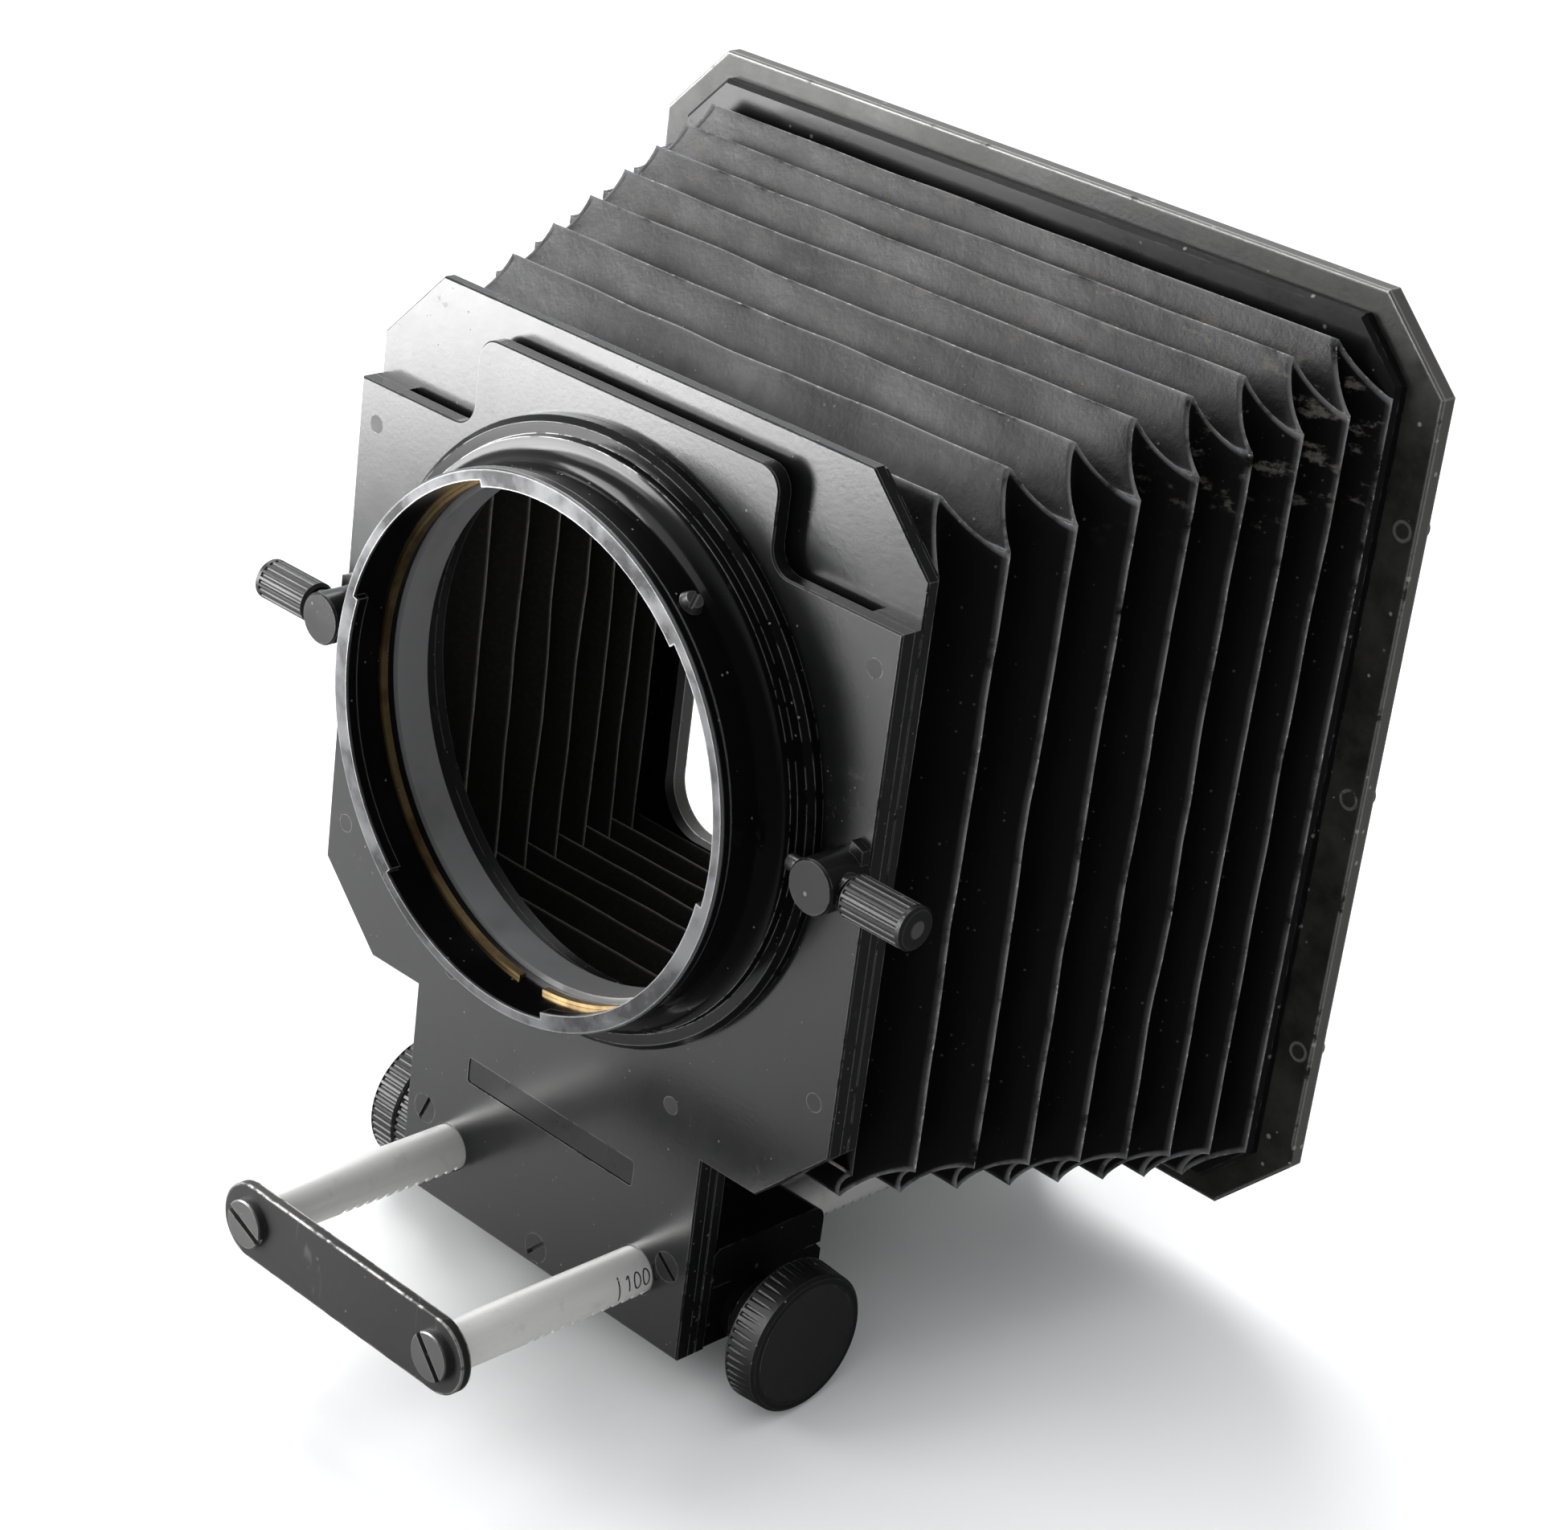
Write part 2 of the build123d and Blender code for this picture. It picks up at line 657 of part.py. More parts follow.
with BuildPart() as shaft_bushes:
    for side in (1, -1):
        bush_plane = Plane(origin=(0, shaft_y, shaft_z), x_dir=(0, 1, 0), z_dir=(side, 0, 0))
        with BuildSketch(bush_plane.offset(housing_half_width - shaft_bush_length)):
            Circle(shaft_bush_radius)
            Circle(shaft_hole_radius, mode=Mode.SUBTRACT)
        extrude(amount=shaft_bush_length)
        with BuildSketch(bush_plane.offset(housing_half_width)):
            Circle(shaft_bush_radius + 1.4)
            Circle(shaft_hole_radius, mode=Mode.SUBTRACT)
        extrude(amount=shaft_bush_flange)
save(shaft_bushes, "shaft_bushes")

# Pinion shaft and knobs ---------------------------------------------------------------------------

shaft_plane = Plane(origin=(0, shaft_y, shaft_z), x_dir=(0, 1, 0), z_dir=(1, 0, 0))
shaft_left_end = -(left_knob_x + left_knob_width - 0.6)
shaft_right_end = knob_back_x + knob_length - 1.4

with BuildPart() as pinion_shaft:
    with BuildSketch(shaft_plane.offset(shaft_left_end)):
        Circle(shaft_radius)
    extrude(amount=shaft_right_end - shaft_left_end)
    shaft_rims = pinion_shaft.edges().filter_by(GeomType.CIRCLE)
    chamfer(shaft_rims, length=0.25)
    with BuildSketch(shaft_plane.offset(shaft_left_end)):
        Circle(left_screw_radius + touch_gap)
    extrude(amount=5.5, mode=Mode.SUBTRACT)
save(pinion_shaft, "pinion_shaft")

base_radius = pitch_radius * cos(radians(20))


def flank_point(radius, turn, sign):
    """Point of an involute flank at this radius, in the tooth's own frame, tooth along +y."""
    if radius <= base_radius:
        unwound = 0.0
    else:
        pressure = sqrt(radius**2 / base_radius**2 - 1)
        unwound = pressure - atan_of(pressure)
    angle = pi / 2 - sign * (turn - unwound)
    return (radius * cos(angle), radius * sin(angle))


def atan_of(ratio):
    """Angle whose tangent is ratio."""
    return radians(Vector(1, 0, 0).get_signed_angle(Vector(1, ratio, 0), Vector(0, 0, 1)))


pitch_unwound = tan(radians(20)) - radians(20)
half_tooth_angle = (tooth_pitch / 2 - backlash) / 2 / pitch_radius + pitch_unwound
root_radius = pitch_radius - rack_addendum - 0.15
flank_radii = [root_radius - 0.1, base_radius, pitch_radius, pinion_tip_radius]

with BuildPart() as pinions:
    for side in (1, -1):
        gear_plane = shaft_plane.offset(side * rod_half_spacing - pinion_width / 2)
        with BuildSketch(gear_plane):
            Circle(root_radius)
            with PolarLocations(0, pinion_teeth, start_angle=0):
                with BuildSketch(mode=Mode.PRIVATE) as tooth:
                    right = [flank_point(r, half_tooth_angle, 1) for r in flank_radii]
                    left = [flank_point(r, half_tooth_angle, -1) for r in flank_radii]
                    Polygon(*(right + left[::-1]), align=None)
                add(tooth.sketch)
            Circle(shaft_radius + touch_gap / 2, mode=Mode.SUBTRACT)
        extrude(amount=pinion_width)
save(pinions, "pinions")

with BuildPart() as focus_knob:
    with BuildSketch(shaft_plane.offset(knob_back_x)):
        Circle(knob_radius + 0.3)
    with BuildSketch(shaft_plane.offset(knob_back_x + knob_length)):
        Circle(knob_radius)
    loft()
    rims = focus_knob.edges().filter_by(GeomType.CIRCLE)
    chamfer(rims, length=0.4)
    with BuildSketch(shaft_plane.offset(knob_back_x + 0.5)):
        with PolarLocations(knob_radius + 0.42, knob_ribs):
            Circle(0.36)
    extrude(amount=knob_length - 1.2, mode=Mode.SUBTRACT)
    with BuildSketch(shaft_plane.offset(knob_back_x + knob_length - 0.5)):
        Circle(knob_radius - 1.2)
    extrude(amount=1, mode=Mode.SUBTRACT)
    hub_back = housing_half_width + shaft_bush_flange + 0.3
    with BuildSketch(shaft_plane.offset(hub_back)):
        Circle(shaft_radius + 2.4)
    extrude(until=Until.NEXT)
    with BuildSketch(shaft_plane.offset(hub_back)):
        Circle(shaft_radius + touch_gap / 2)
    extrude(amount=shaft_right_end + 0.1 - hub_back, mode=Mode.SUBTRACT)
    grub_hole = Plane(
        origin=((hub_back + knob_back_x) / 2, shaft_y, shaft_z), x_dir=(1, 0, 0), z_dir=(0, 0, -1)
    )
    with BuildSketch(grub_hole):
        Circle(grub_radius + touch_gap)
    extrude(amount=shaft_radius + 3, mode=Mode.SUBTRACT)
save(focus_knob, "focus_knob")

grub_x = (hub_back + knob_back_x) / 2
grub_plane = Plane(origin=(grub_x, shaft_y, shaft_z), x_dir=(1, 0, 0), z_dir=(0, 0, -1))
with BuildPart() as focus_knob_grub:
    with BuildSketch(grub_plane.offset(shaft_radius + 0.1)):
        Circle(grub_radius)
    extrude(amount=1.9)
    with Locations(grub_plane * Pos(0, 0, shaft_radius + 2.0)):
        Box(3, 0.4, 0.8, mode=Mode.SUBTRACT)
save(focus_knob_grub, "focus_knob_grub")

with BuildPart() as knob_disc:
    with BuildSketch(shaft_plane.offset(knob_back_x + knob_length - 0.5)):
        Circle(knob_radius - 1.2 - 0.1)
    extrude(amount=0.45)
save(knob_disc, "knob_disc")


def ribbed_disc(start, width, radius, bore):
    """A ribbed disc on the shaft, from start outward to the left, with a plain bore."""
    with BuildPart() as disc:
        with BuildSketch(left_plane.offset(start)):
            Circle(radius)
            Circle(bore, mode=Mode.SUBTRACT)
        extrude(amount=width)
        outer = disc.edges().filter_by(GeomType.CIRCLE)
        chamfer(outer.filter_by(lambda e: e.radius > radius - 0.1), length=0.3)
        with BuildSketch(left_plane.offset(start + 0.3)):
            with PolarLocations(radius + 0.12, knob_ribs):
                Circle(0.36)
        extrude(amount=width - 0.6, mode=Mode.SUBTRACT)
    return disc


left_plane = Plane(origin=(0, shaft_y, shaft_z), x_dir=(0, 1, 0), z_dir=(-1, 0, 0))
lock_ring = ribbed_disc(lock_ring_x, lock_ring_width, knob_radius, shaft_hole_radius)
save(lock_ring, "lock_ring")

with BuildPart() as left_knob:
    left_disc = ribbed_disc(left_knob_x, left_knob_width, knob_radius - 0.2, shaft_radius / 2)
    add(left_disc.part)
    with BuildSketch(left_plane.offset(left_knob_x)):
        Circle(shaft_radius + touch_gap / 2)
    extrude(amount=-shaft_left_end + 0.05 - left_knob_x, mode=Mode.SUBTRACT)
save(left_knob, "left_knob")

with BuildPart() as left_knob_screw:
    head_plane = left_plane.offset(left_knob_x + left_knob_width)
    with BuildSketch(head_plane):
        Circle(2.4)
    extrude(amount=0.9)
    chamfer(left_knob_screw.faces().sort_by(Axis.X)[0].edges(), length=0.15)
    with BuildSketch(head_plane):
        Circle(left_screw_radius)
    extrude(amount=-5.5)
    with Locations(head_plane * Pos(0, 0, 0.9) * Rot(0, 0, 20)):
        Box(6, 0.5, 0.9, mode=Mode.SUBTRACT)
save(left_knob_screw, "left_knob_screw")

with BuildPart() as lock_washer:
    washer_x = housing_half_width + shaft_bush_flange + 0.02
    with BuildSketch(left_plane.offset(washer_x)):
        Circle(shaft_radius + 2.6)
        Circle(shaft_radius + loose_fit, mode=Mode.SUBTRACT)
    extrude(amount=0.5)
save(lock_washer, "lock_washer")

# Sliding carriage: rods, end plate and scene frame ------------------------------------------------

rack_start = shaft_y - travel_out - 2 * tooth_pitch
rack_end = shaft_y + travel_in + 2 * tooth_pitch
gap_count = 2 * int((rack_end - rack_start) / tooth_pitch / 2) + 1
rack_middle = (rack_start + rack_end) / 2
gap_shift = (rack_middle - shaft_y) % tooth_pitch
gap_middle = rack_middle - gap_shift
slope = tan(radians(20))
gap_half_pitch = tooth_pitch / 4 + backlash / 4
gap_half_mouth = gap_half_pitch + slope * rack_addendum
gap_half_root = gap_half_pitch - slope * (rack_root_z - pitch_line_z)

for side, name in ((1, "right"), (-1, "left")):
    with BuildPart() as rod:
        with BuildSketch(facing_lens(anchor_y)):
            with Locations((side * rod_half_spacing, rod_z)):
                Circle(rod_radius)
        extrude(amount=rod_length)
        chamfer(rod.edges().filter_by(GeomType.CIRCLE), length=0.3)
        with Locations((side * rod_half_spacing, rack_middle, rack_tip_z)):
            Box(
                2 * rod_radius,
                gap_count * tooth_pitch,
                rod_radius,
                align=(Align.CENTER, Align.CENTER, Align.MAX),
                mode=Mode.SUBTRACT,
            )
        with BuildSketch(facing_right(side * rod_half_spacing - rod_radius)):
            first_gap = gap_middle - (gap_count // 2) * tooth_pitch
            for i in range(1, gap_count):
                centre = first_gap + i * tooth_pitch
                with BuildLine():
                    Polyline(
                        (centre - gap_half_mouth, rack_tip_z),
                        (centre - gap_half_root, rack_root_z),
                        (centre + gap_half_root, rack_root_z),
                        (centre + gap_half_mouth, rack_tip_z),
                        close=True,
                    )
                make_face()
        extrude(amount=2 * rod_radius, mode=Mode.SUBTRACT)
        with Locations(
            facing_lens(rod_front) * Pos(side * rod_half_spacing, rod_z, 0),
            facing_lens(anchor_y) * Pos(side * rod_half_spacing, rod_z, 0),
        ):
            Cylinder(cheese_shank_radius + touch_gap, 14, mode=Mode.SUBTRACT)
    save(rod, f"rod_{name}")


def joining_plate(front, thickness):
    """Slot-shaped plate across both rods, with a hole at each."""
    with BuildPart() as plate:
        with BuildSketch(facing_lens(front + thickness)):
            with Locations((0, rod_z)):
                SlotCenterToCenter(2 * rod_half_spacing, 2 * end_plate_radius)
            with centred_on(rod_places):
                Circle(cheese_shank_radius + touch_gap, mode=Mode.SUBTRACT)
        extrude(amount=thickness)
        chamfer(plate.faces().sort_by(Axis.Y)[0].outer_wire().edges(), length=0.15)
    return plate


def cheese_screws(face_y, direction, turns):
    """Two slotted screws into the rods' ends; direction is -1 at the lens end, 1 at the other."""
    with BuildPart() as screws:
        for (x, z), turn in zip(rod_places, turns):
            plane = Plane(origin=(x, face_y, z), x_dir=(1, 0, 0), z_dir=(0, direction, 0))
            with BuildSketch(plane):
                Circle(cheese_head_radius)
            extrude(amount=cheese_head_height)
            with BuildSketch(plane):
                Circle(cheese_shank_radius)
            extrude(amount=-6.5)
            with Locations(plane * Pos(0, 0, cheese_head_height) * Rot(0, 0, turn)):
                Box(8, 0.85, 1.2, mode=Mode.SUBTRACT)
        heads = screws.edges().filter_by(GeomType.CIRCLE)
        heads = heads.filter_by(lambda e: e.radius > cheese_head_radius - 0.1)
        outermost = heads.group_by(Axis.Y)[0 if direction < 0 else -1]
        chamfer(outermost, length=0.15)
    return screws


end_plate_y = rod_front - end_plate_thickness
save(joining_plate(end_plate_y, end_plate_thickness), "end_plate")
save(cheese_screws(end_plate_y, -1, (-22, -48)), "end_plate_screws")

flange_screw_places = [(x, z) for x in (-15.0, 15.0) for z in (-52.6,)]
flange_screw_radius = 1.0
with BuildPart() as rod_anchor:
    with BuildSketch(facing_lens(anchor_y + anchor_thickness)):
        with Locations((0, rod_z)):
            SlotCenterToCenter(2 * rod_half_spacing, 2 * end_plate_radius)
        anchor_half = rod_half_spacing + end_plate_radius
        with Locations((0, rod_z)):
            Rectangle(2 * anchor_half, anchor_top - rod_z, align=(Align.CENTER, Align.MIN))
        with centred_on(rod_places):
            Circle(cheese_shank_radius + touch_gap, mode=Mode.SUBTRACT)
        with centred_on(flange_screw_places):
            Circle(flange_screw_radius + touch_gap, mode=Mode.SUBTRACT)
    extrude(amount=anchor_thickness)
save(rod_anchor, "rod_anchor")
save(cheese_screws(anchor_y + anchor_thickness, 1, (15, 70)), "rod_anchor_screws")

with BuildPart() as flange_screws:
    for x, z in flange_screw_places:
        plane = Plane(origin=(x, anchor_y + anchor_thickness, z), x_dir=(1, 0, 0), z_dir=(0, 1, 0))
        with BuildSketch(plane):
            Circle(1.8)
        extrude(amount=0.8)
        with BuildSketch(plane):
            Circle(flange_screw_radius)
        extrude(amount=-(anchor_thickness + frame_thickness))
        with Locations(plane * Pos(0, 0, 0.8) * Rot(0, 0, 30)):
            Box(5, 0.5, 0.8, mode=Mode.SUBTRACT)
save(flange_screws, "flange_screws")

peg_places = [
    (side * peg_x, peg_middle_z + step * peg_spacing) for side in (-1, 1) for step in (-1, 0, 1)
]
aperture_middle = (aperture_top + aperture_bottom) / 2
aperture_height = aperture_top - aperture_bottom

with BuildPart() as scene_frame:
    with BuildSketch(facing_lens(anchor_y)):
        frame_outline = octagon(
            frame_half_width, frame_top, frame_bottom, frame_corner_run, frame_corner_rise
        )
        Polygon(*frame_outline, align=None)
        with Locations((0, aperture_middle)):
            RectangleRounded(
                2 * aperture_half_width, aperture_height, aperture_radius, mode=Mode.SUBTRACT
            )
        with centred_on(peg_places):
            Circle(peg_shank_radius + touch_gap, mode=Mode.SUBTRACT)
        with centred_on(flange_screw_places):
            Circle(flange_screw_radius + touch_gap, mode=Mode.SUBTRACT)
    extrude(amount=frame_thickness)
    rim = scene_frame.faces().filter_by(Axis.Y).sort_by(Axis.Y)
    chamfer(rim[0].outer_wire().edges(), length=0.25)
save(scene_frame, "scene_frame")

with BuildPart() as bellows_retainer:
    with BuildSketch(facing_lens(frame_y)):
        retainer_outline = octagon(
            retainer_half_width, retainer_top, retainer_bottom, retainer_corner, retainer_corner
        )
        Polygon(*retainer_outline, align=None)
        with Locations((0, aperture_middle)):
            RectangleRounded(
                2 * aperture_half_width, aperture_height, aperture_radius, mode=Mode.SUBTRACT
            )
    extrude(amount=retainer_thickness)
    rim = bellows_retainer.faces().filter_by(Axis.Y).sort_by(Axis.Y)
    chamfer(rim[0].outer_wire().edges(), length=0.5)
save(bellows_retainer, "bellows_retainer")

with BuildPart() as mask_pegs:
    for x, z in peg_places:
        plane = Plane(origin=(x, frame_y, z), x_dir=(1, 0, 0), z_dir=(0, 1, 0))
        with BuildSketch(plane):
            Circle(peg_shank_radius)
        extrude(amount=frame_thickness)
        with BuildSketch(plane.offset(frame_thickness)):
            Circle(peg_radius)
        extrude(amount=peg_height)
    ends = mask_pegs.faces().filter_by(Axis.Y).group_by(Axis.Y)[-1]
    fillet(ends.edges(), radius=peg_dome)
save(mask_pegs, "mask_pegs")

# Bellows: top and side folds alternate by half a fold ----------------------------------------------

bellows_length = bellows_end_y - bellows_y
fold_steps = 2 * fold_count


def along(front, back, step):
    """Size of the straight-sided envelope where this half-fold step stands."""
    return front + (back - front) * (fold_y(step) - bellows_y) / bellows_length


def fold_y(step):
    """Place of a half-fold step along the axis; the folds stand closer towards the scene end."""
    share = step / fold_steps
    return bellows_y + bellows_length * (share + fold_gather * share * (1 - share))


def fold_section(step, inset):
    """Half width, top and bottom of the cloth tube at a half-fold step, moved inward by inset."""
    side_in = fold_depth if step % 2 else 0.0
    top_in = fold_depth - side_in
    half = along(bellows_front_half_width, bellows_back_half_width, step) - side_in - inset
    top = along(bellows_front_top, bellows_back_top, step) - top_in - inset
    bottom = along(bellows_front_bottom, bellows_back_bottom, step) + top_in + inset
    return half, top, bottom


def fold_tube(inset, overrun):
    """Solid inside of the folded tube; overrun carries both ends past the cloth's own."""
    with BuildPart() as tube:
        for step in range(fold_steps + 1):
            half, top, bottom = fold_section(step, inset)
            y = fold_y(step) + overrun * ((step == fold_steps) - (step == 0))
            with BuildSketch(facing_lens(y)):
                with Locations((0, (top + bottom) / 2)):
                    Rectangle(2 * half, top - bottom)
        loft(ruled=True)
    return tube


with BuildPart() as bellows:
    add(fold_tube(0, 0).part)
    add(fold_tube(cloth_thickness, 0.5).part, mode=Mode.SUBTRACT)
save(bellows, "bellows")
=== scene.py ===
"""Looks of the bellows lens shade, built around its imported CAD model.

Everything is in metres in the model's own frame: the lens side faces -Y and +Z is up. The pieces
made here are worked out in millimetres and brought to metres as their meshes are made.
"""
from math import atan2, cos, pi, radians, sin, sqrt

import bpy
import numpy as np
from mathutils import Matrix, Vector


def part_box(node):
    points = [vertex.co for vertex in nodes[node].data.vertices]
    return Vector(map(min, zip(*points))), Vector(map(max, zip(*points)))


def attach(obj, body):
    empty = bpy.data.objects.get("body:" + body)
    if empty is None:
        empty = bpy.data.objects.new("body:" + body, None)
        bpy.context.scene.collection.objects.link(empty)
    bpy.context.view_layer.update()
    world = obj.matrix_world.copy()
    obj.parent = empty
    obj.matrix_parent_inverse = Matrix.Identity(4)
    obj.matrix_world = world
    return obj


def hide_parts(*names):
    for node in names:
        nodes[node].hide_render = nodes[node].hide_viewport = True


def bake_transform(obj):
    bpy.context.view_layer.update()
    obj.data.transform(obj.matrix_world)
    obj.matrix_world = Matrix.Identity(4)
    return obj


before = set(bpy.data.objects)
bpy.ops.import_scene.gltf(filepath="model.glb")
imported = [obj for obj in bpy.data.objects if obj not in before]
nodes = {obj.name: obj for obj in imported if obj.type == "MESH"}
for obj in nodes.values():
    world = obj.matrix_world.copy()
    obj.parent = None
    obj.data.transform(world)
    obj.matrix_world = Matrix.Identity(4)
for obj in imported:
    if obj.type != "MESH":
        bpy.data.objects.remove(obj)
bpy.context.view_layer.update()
scene = bpy.context.scene
scene.view_settings.view_transform = "Standard"
MM = 0.001

# Camera ------------------------------------------------------------------------------------------

FOCAL_PER_WIDTH = 4646.99 / 1951
CAMERA_PLACE = (0.27632, -0.27511, 0.17488)
view_turn, view_rise, view_roll = radians(41.827), radians(24.278), radians(7.432)
camera_back = Vector(
    (sin(view_turn) * cos(view_rise), -cos(view_turn) * cos(view_rise), sin(view_rise))
)
level_right = Vector((cos(view_turn), sin(view_turn), 0))
level_up = camera_back.cross(level_right)
camera_right = cos(view_roll) * level_right + sin(view_roll) * level_up
camera_up = cos(view_roll) * level_up - sin(view_roll) * level_right

lens = bpy.data.cameras.new("camera")
lens.sensor_width = 36
lens.lens = lens.sensor_width * FOCAL_PER_WIDTH
lens.clip_start, lens.clip_end = 0.01, 20
camera = bpy.data.objects.new("camera", lens)
scene.collection.objects.link(camera)
camera.matrix_world = Matrix.Translation(CAMERA_PLACE) @ Matrix(
    (camera_right, camera_up, camera_back)
).transposed().to_4x4()
scene.camera = camera

# Studio ------------------------------------------------------------------------------------------

knob_low, knob_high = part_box("focus_knob")
anchor_low, anchor_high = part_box("rod_anchor")
knob_radius = (knob_high.z - knob_low.z) / 2
knob_y, knob_z = (knob_low.y + knob_high.y) / 2, (knob_low.z + knob_high.z) / 2
reach = sqrt((anchor_high.y - knob_y) ** 2 + (anchor_low.z - knob_z) ** 2)
stance = atan2(anchor_low.z - knob_z, anchor_high.y - knob_y) + atan2(
    knob_radius, sqrt(reach**2 - knob_radius**2)
)
floor_up = Vector((0, -sin(stance), cos(stance)))
floor_along = Vector((0, cos(stance), sin(stance)))
floor_point = Vector((0, anchor_high.y, anchor_low.z))


def put(tree, kind, inputs=None, **settings):
    """A new node; inputs maps a socket's name or number to a value or to another socket."""
    made = tree.nodes.new("ShaderNode" + kind)
    for key, value in settings.items():
        setattr(made, key, value)
    for key, value in (inputs or {}).items():
        if isinstance(value, bpy.types.NodeSocket):
            tree.links.new(value, made.inputs[key])
        else:
            made.inputs[key].default_value = value
    return made


def sum_of(tree, operation, a, b=0.0, clamp=False):
    """One arithmetic node's output."""
    return put(tree, "Math", {0: a, 1: b}, operation=operation, use_clamp=clamp).outputs[0]


def rise(tree, value, low, high, smooth=True):
    """0 where value is at low, 1 where it is at high."""
    kind = "SMOOTHSTEP" if smooth else "LINEAR"
    made = put(tree, "MapRange", {"Value": value}, interpolation_type=kind)
    for key, limit in (("From Min", low), ("From Max", high)):
        if isinstance(limit, bpy.types.NodeSocket):
            tree.links.new(limit, made.inputs[key])
        else:
            made.inputs[key].default_value = limit
    return made.outputs[0]


def place(tree):
    return put(tree, "TexCoord").outputs["Object"]


def noise(tree, scale, detail=3.0, roughness=0.55, where=None):
    values = {"Scale": scale, "Detail": detail, "Roughness": roughness}
    values["Vector"] = where if where is not None else place(tree)
    return put(tree, "TexNoise", values).outputs[0]


def stage_material(name, colour, roughness):
    material = bpy.data.materials.new(name)
    material.use_nodes = True
    shader = material.node_tree.nodes["Principled BSDF"]
    shader.inputs["Base Color"].default_value = (*colour, 1)
    shader.inputs["Roughness"].default_value = roughness
    shader.inputs["Specular IOR Level"].default_value = 0.2
    return material


FLOOR_REACH = 20
PAPER = 0.9
# Painted shade in reflections: for glossy rays the paper is drawn darker, grey on the -X side and
# near black on the +X side. It stays white to the camera and to diffuse light.
PAPER_MIRRORED_LEFT, PAPER_MIRRORED_RIGHT = 0.5, 0.06
DIM_FROM, DIM_TO = -0.10, 0.06

floor_mesh = bpy.data.meshes.new("floor")
floor_corners = [
    tuple(floor_point + FLOOR_REACH * (floor_along * along + Vector((1, 0, 0)) * across))
    for along, across in ((-1, -1), (-1, 1), (1, 1), (1, -1))
]
floor_mesh.from_pydata(floor_corners, [], [(0, 1, 2, 3)])
paper = stage_material("white_paper", (PAPER, PAPER, PAPER), 0.6)
paper_tree = paper.node_tree
across_floor = put(paper_tree, "SeparateXYZ", {0: place(paper_tree)}).outputs[0]
dim_side = rise(paper_tree, across_floor, DIM_FROM, DIM_TO)
painted_reflection_shade = put(
    paper_tree,
    "Mix",
    {
        0: dim_side,
        6: (PAPER_MIRRORED_LEFT, PAPER_MIRRORED_LEFT, PAPER_MIRRORED_LEFT, 1),
        7: (PAPER_MIRRORED_RIGHT, PAPER_MIRRORED_RIGHT, PAPER_MIRRORED_RIGHT, 1),
    },
    data_type="RGBA",
).outputs[2]
mirrored_ray = put(paper_tree, "LightPath").outputs["Is Glossy Ray"]
paper_and_painted_reflection_shade = put(
    paper_tree,
    "Mix",
    {0: mirrored_ray, 6: (PAPER, PAPER, PAPER, 1), 7: painted_reflection_shade},
    data_type="RGBA",
)
paper_tree.links.new(
    paper_and_painted_reflection_shade.outputs[2], paper_tree.nodes["Principled BSDF"].inputs["Base Color"]
)
floor_mesh.materials.append(paper)
floor = bpy.data.objects.new("floor", floor_mesh)
scene.collection.objects.link(floor)

TENT_COLOUR = (0.97, 0.985, 1, 1)
TENT = 0.78
BACKDROP_SHIFT = -0.08
ROOM_DARK, ROOM_GLOW = 0.06, 0.75
ROOM_EDGE = 0.35

world = bpy.data.worlds.new("studio")
world.use_nodes = True
scene.world = world
sky = world.node_tree
sky.nodes.clear()
rays = put(sky, "LightPath").outputs
backdrop = sum_of(sky, "MULTIPLY_ADD", rays["Is Camera Ray"], BACKDROP_SHIFT)
sky.nodes[-1].inputs[2].default_value = TENT
tent = put(sky, "Background", {"Color": TENT_COLOUR, "Strength": backdrop})
sky_direction = put(sky, "TexCoord").outputs["Generated"]
from_left = put(sky, "SeparateXYZ", {0: sky_direction}).outputs[0]
left_wall = rise(sky, from_left, ROOM_EDGE, -ROOM_EDGE)
room_glow = sum_of(sky, "MULTIPLY_ADD", left_wall, ROOM_GLOW)
sky.nodes[-1].inputs[2].default_value = ROOM_DARK
room = put(sky, "Background", {"Color": TENT_COLOUR, "Strength": room_glow})
either = put(
    sky, "MixShader", {0: rays["Is Glossy Ray"], 1: tent.outputs[0], 2: room.outputs[0]}
)
sky.links.new(either.outputs[0], put(sky, "OutputWorld").inputs[0])

middle = Vector((0, 0.018, 0))
CARD_SPREAD = radians(100)


def soft_light(name, direction, distance, width, height, radiance, card=False):
    """A flat lamp that far from the shade's middle, facing it; its power gives that radiance. A
    card only shows in what is glossy, as a reflector does, and shines less to its sides."""
    lamp = bpy.data.lights.new(name, "AREA")
    lamp.shape = "RECTANGLE"
    lamp.size, lamp.size_y = width, height
    lamp.energy = radiance * pi * width * height
    if card:
        lamp.spread = CARD_SPREAD
    made = bpy.data.objects.new(name, lamp)
    scene.collection.objects.link(made)
    towards = Vector(direction).normalized()
    made.location = middle + towards * distance
    made.rotation_mode = "QUATERNION"
    made.rotation_quaternion = towards.to_track_quat("Z", "Y")
    made.visible_camera = False
    made.visible_diffuse = not card
    return made


soft_light("key", (-0.66, 0.30, 0.95), 1.1, 0.7, 0.6, 8.3)
soft_light("window", (-0.72, -0.69, 0.055), 0.42, 0.26, 0.27, 6.2, card=True)
soft_light("fill", (-0.70, -0.66, 0.40), 1.3, 0.7, 0.6, 6.0)
soft_light("overhead", (0.0, 0.05, 1.0), 1.2, 0.9, 0.8, 1.6)

# Effects shared by several finishes --------------------------------------------------------------


def effect(name, inputs, output):
    """A node group with float inputs (name: default) and one float output; returns it with its
    input sockets and its output socket to fill."""
    tree = bpy.data.node_groups.new(name, "ShaderNodeTree")
    for label, value in inputs.items():
        made = tree.interface.new_socket(
            name=label, in_out="INPUT", socket_type="NodeSocketFloat"
        )
        made.default_value = value
    tree.interface.new_socket(name=output, in_out="OUTPUT", socket_type="NodeSocketFloat")
    given = tree.nodes.new("NodeGroupInput").outputs
    wanted = tree.nodes.new("NodeGroupOutput").inputs[0]
    return tree, given, wanted


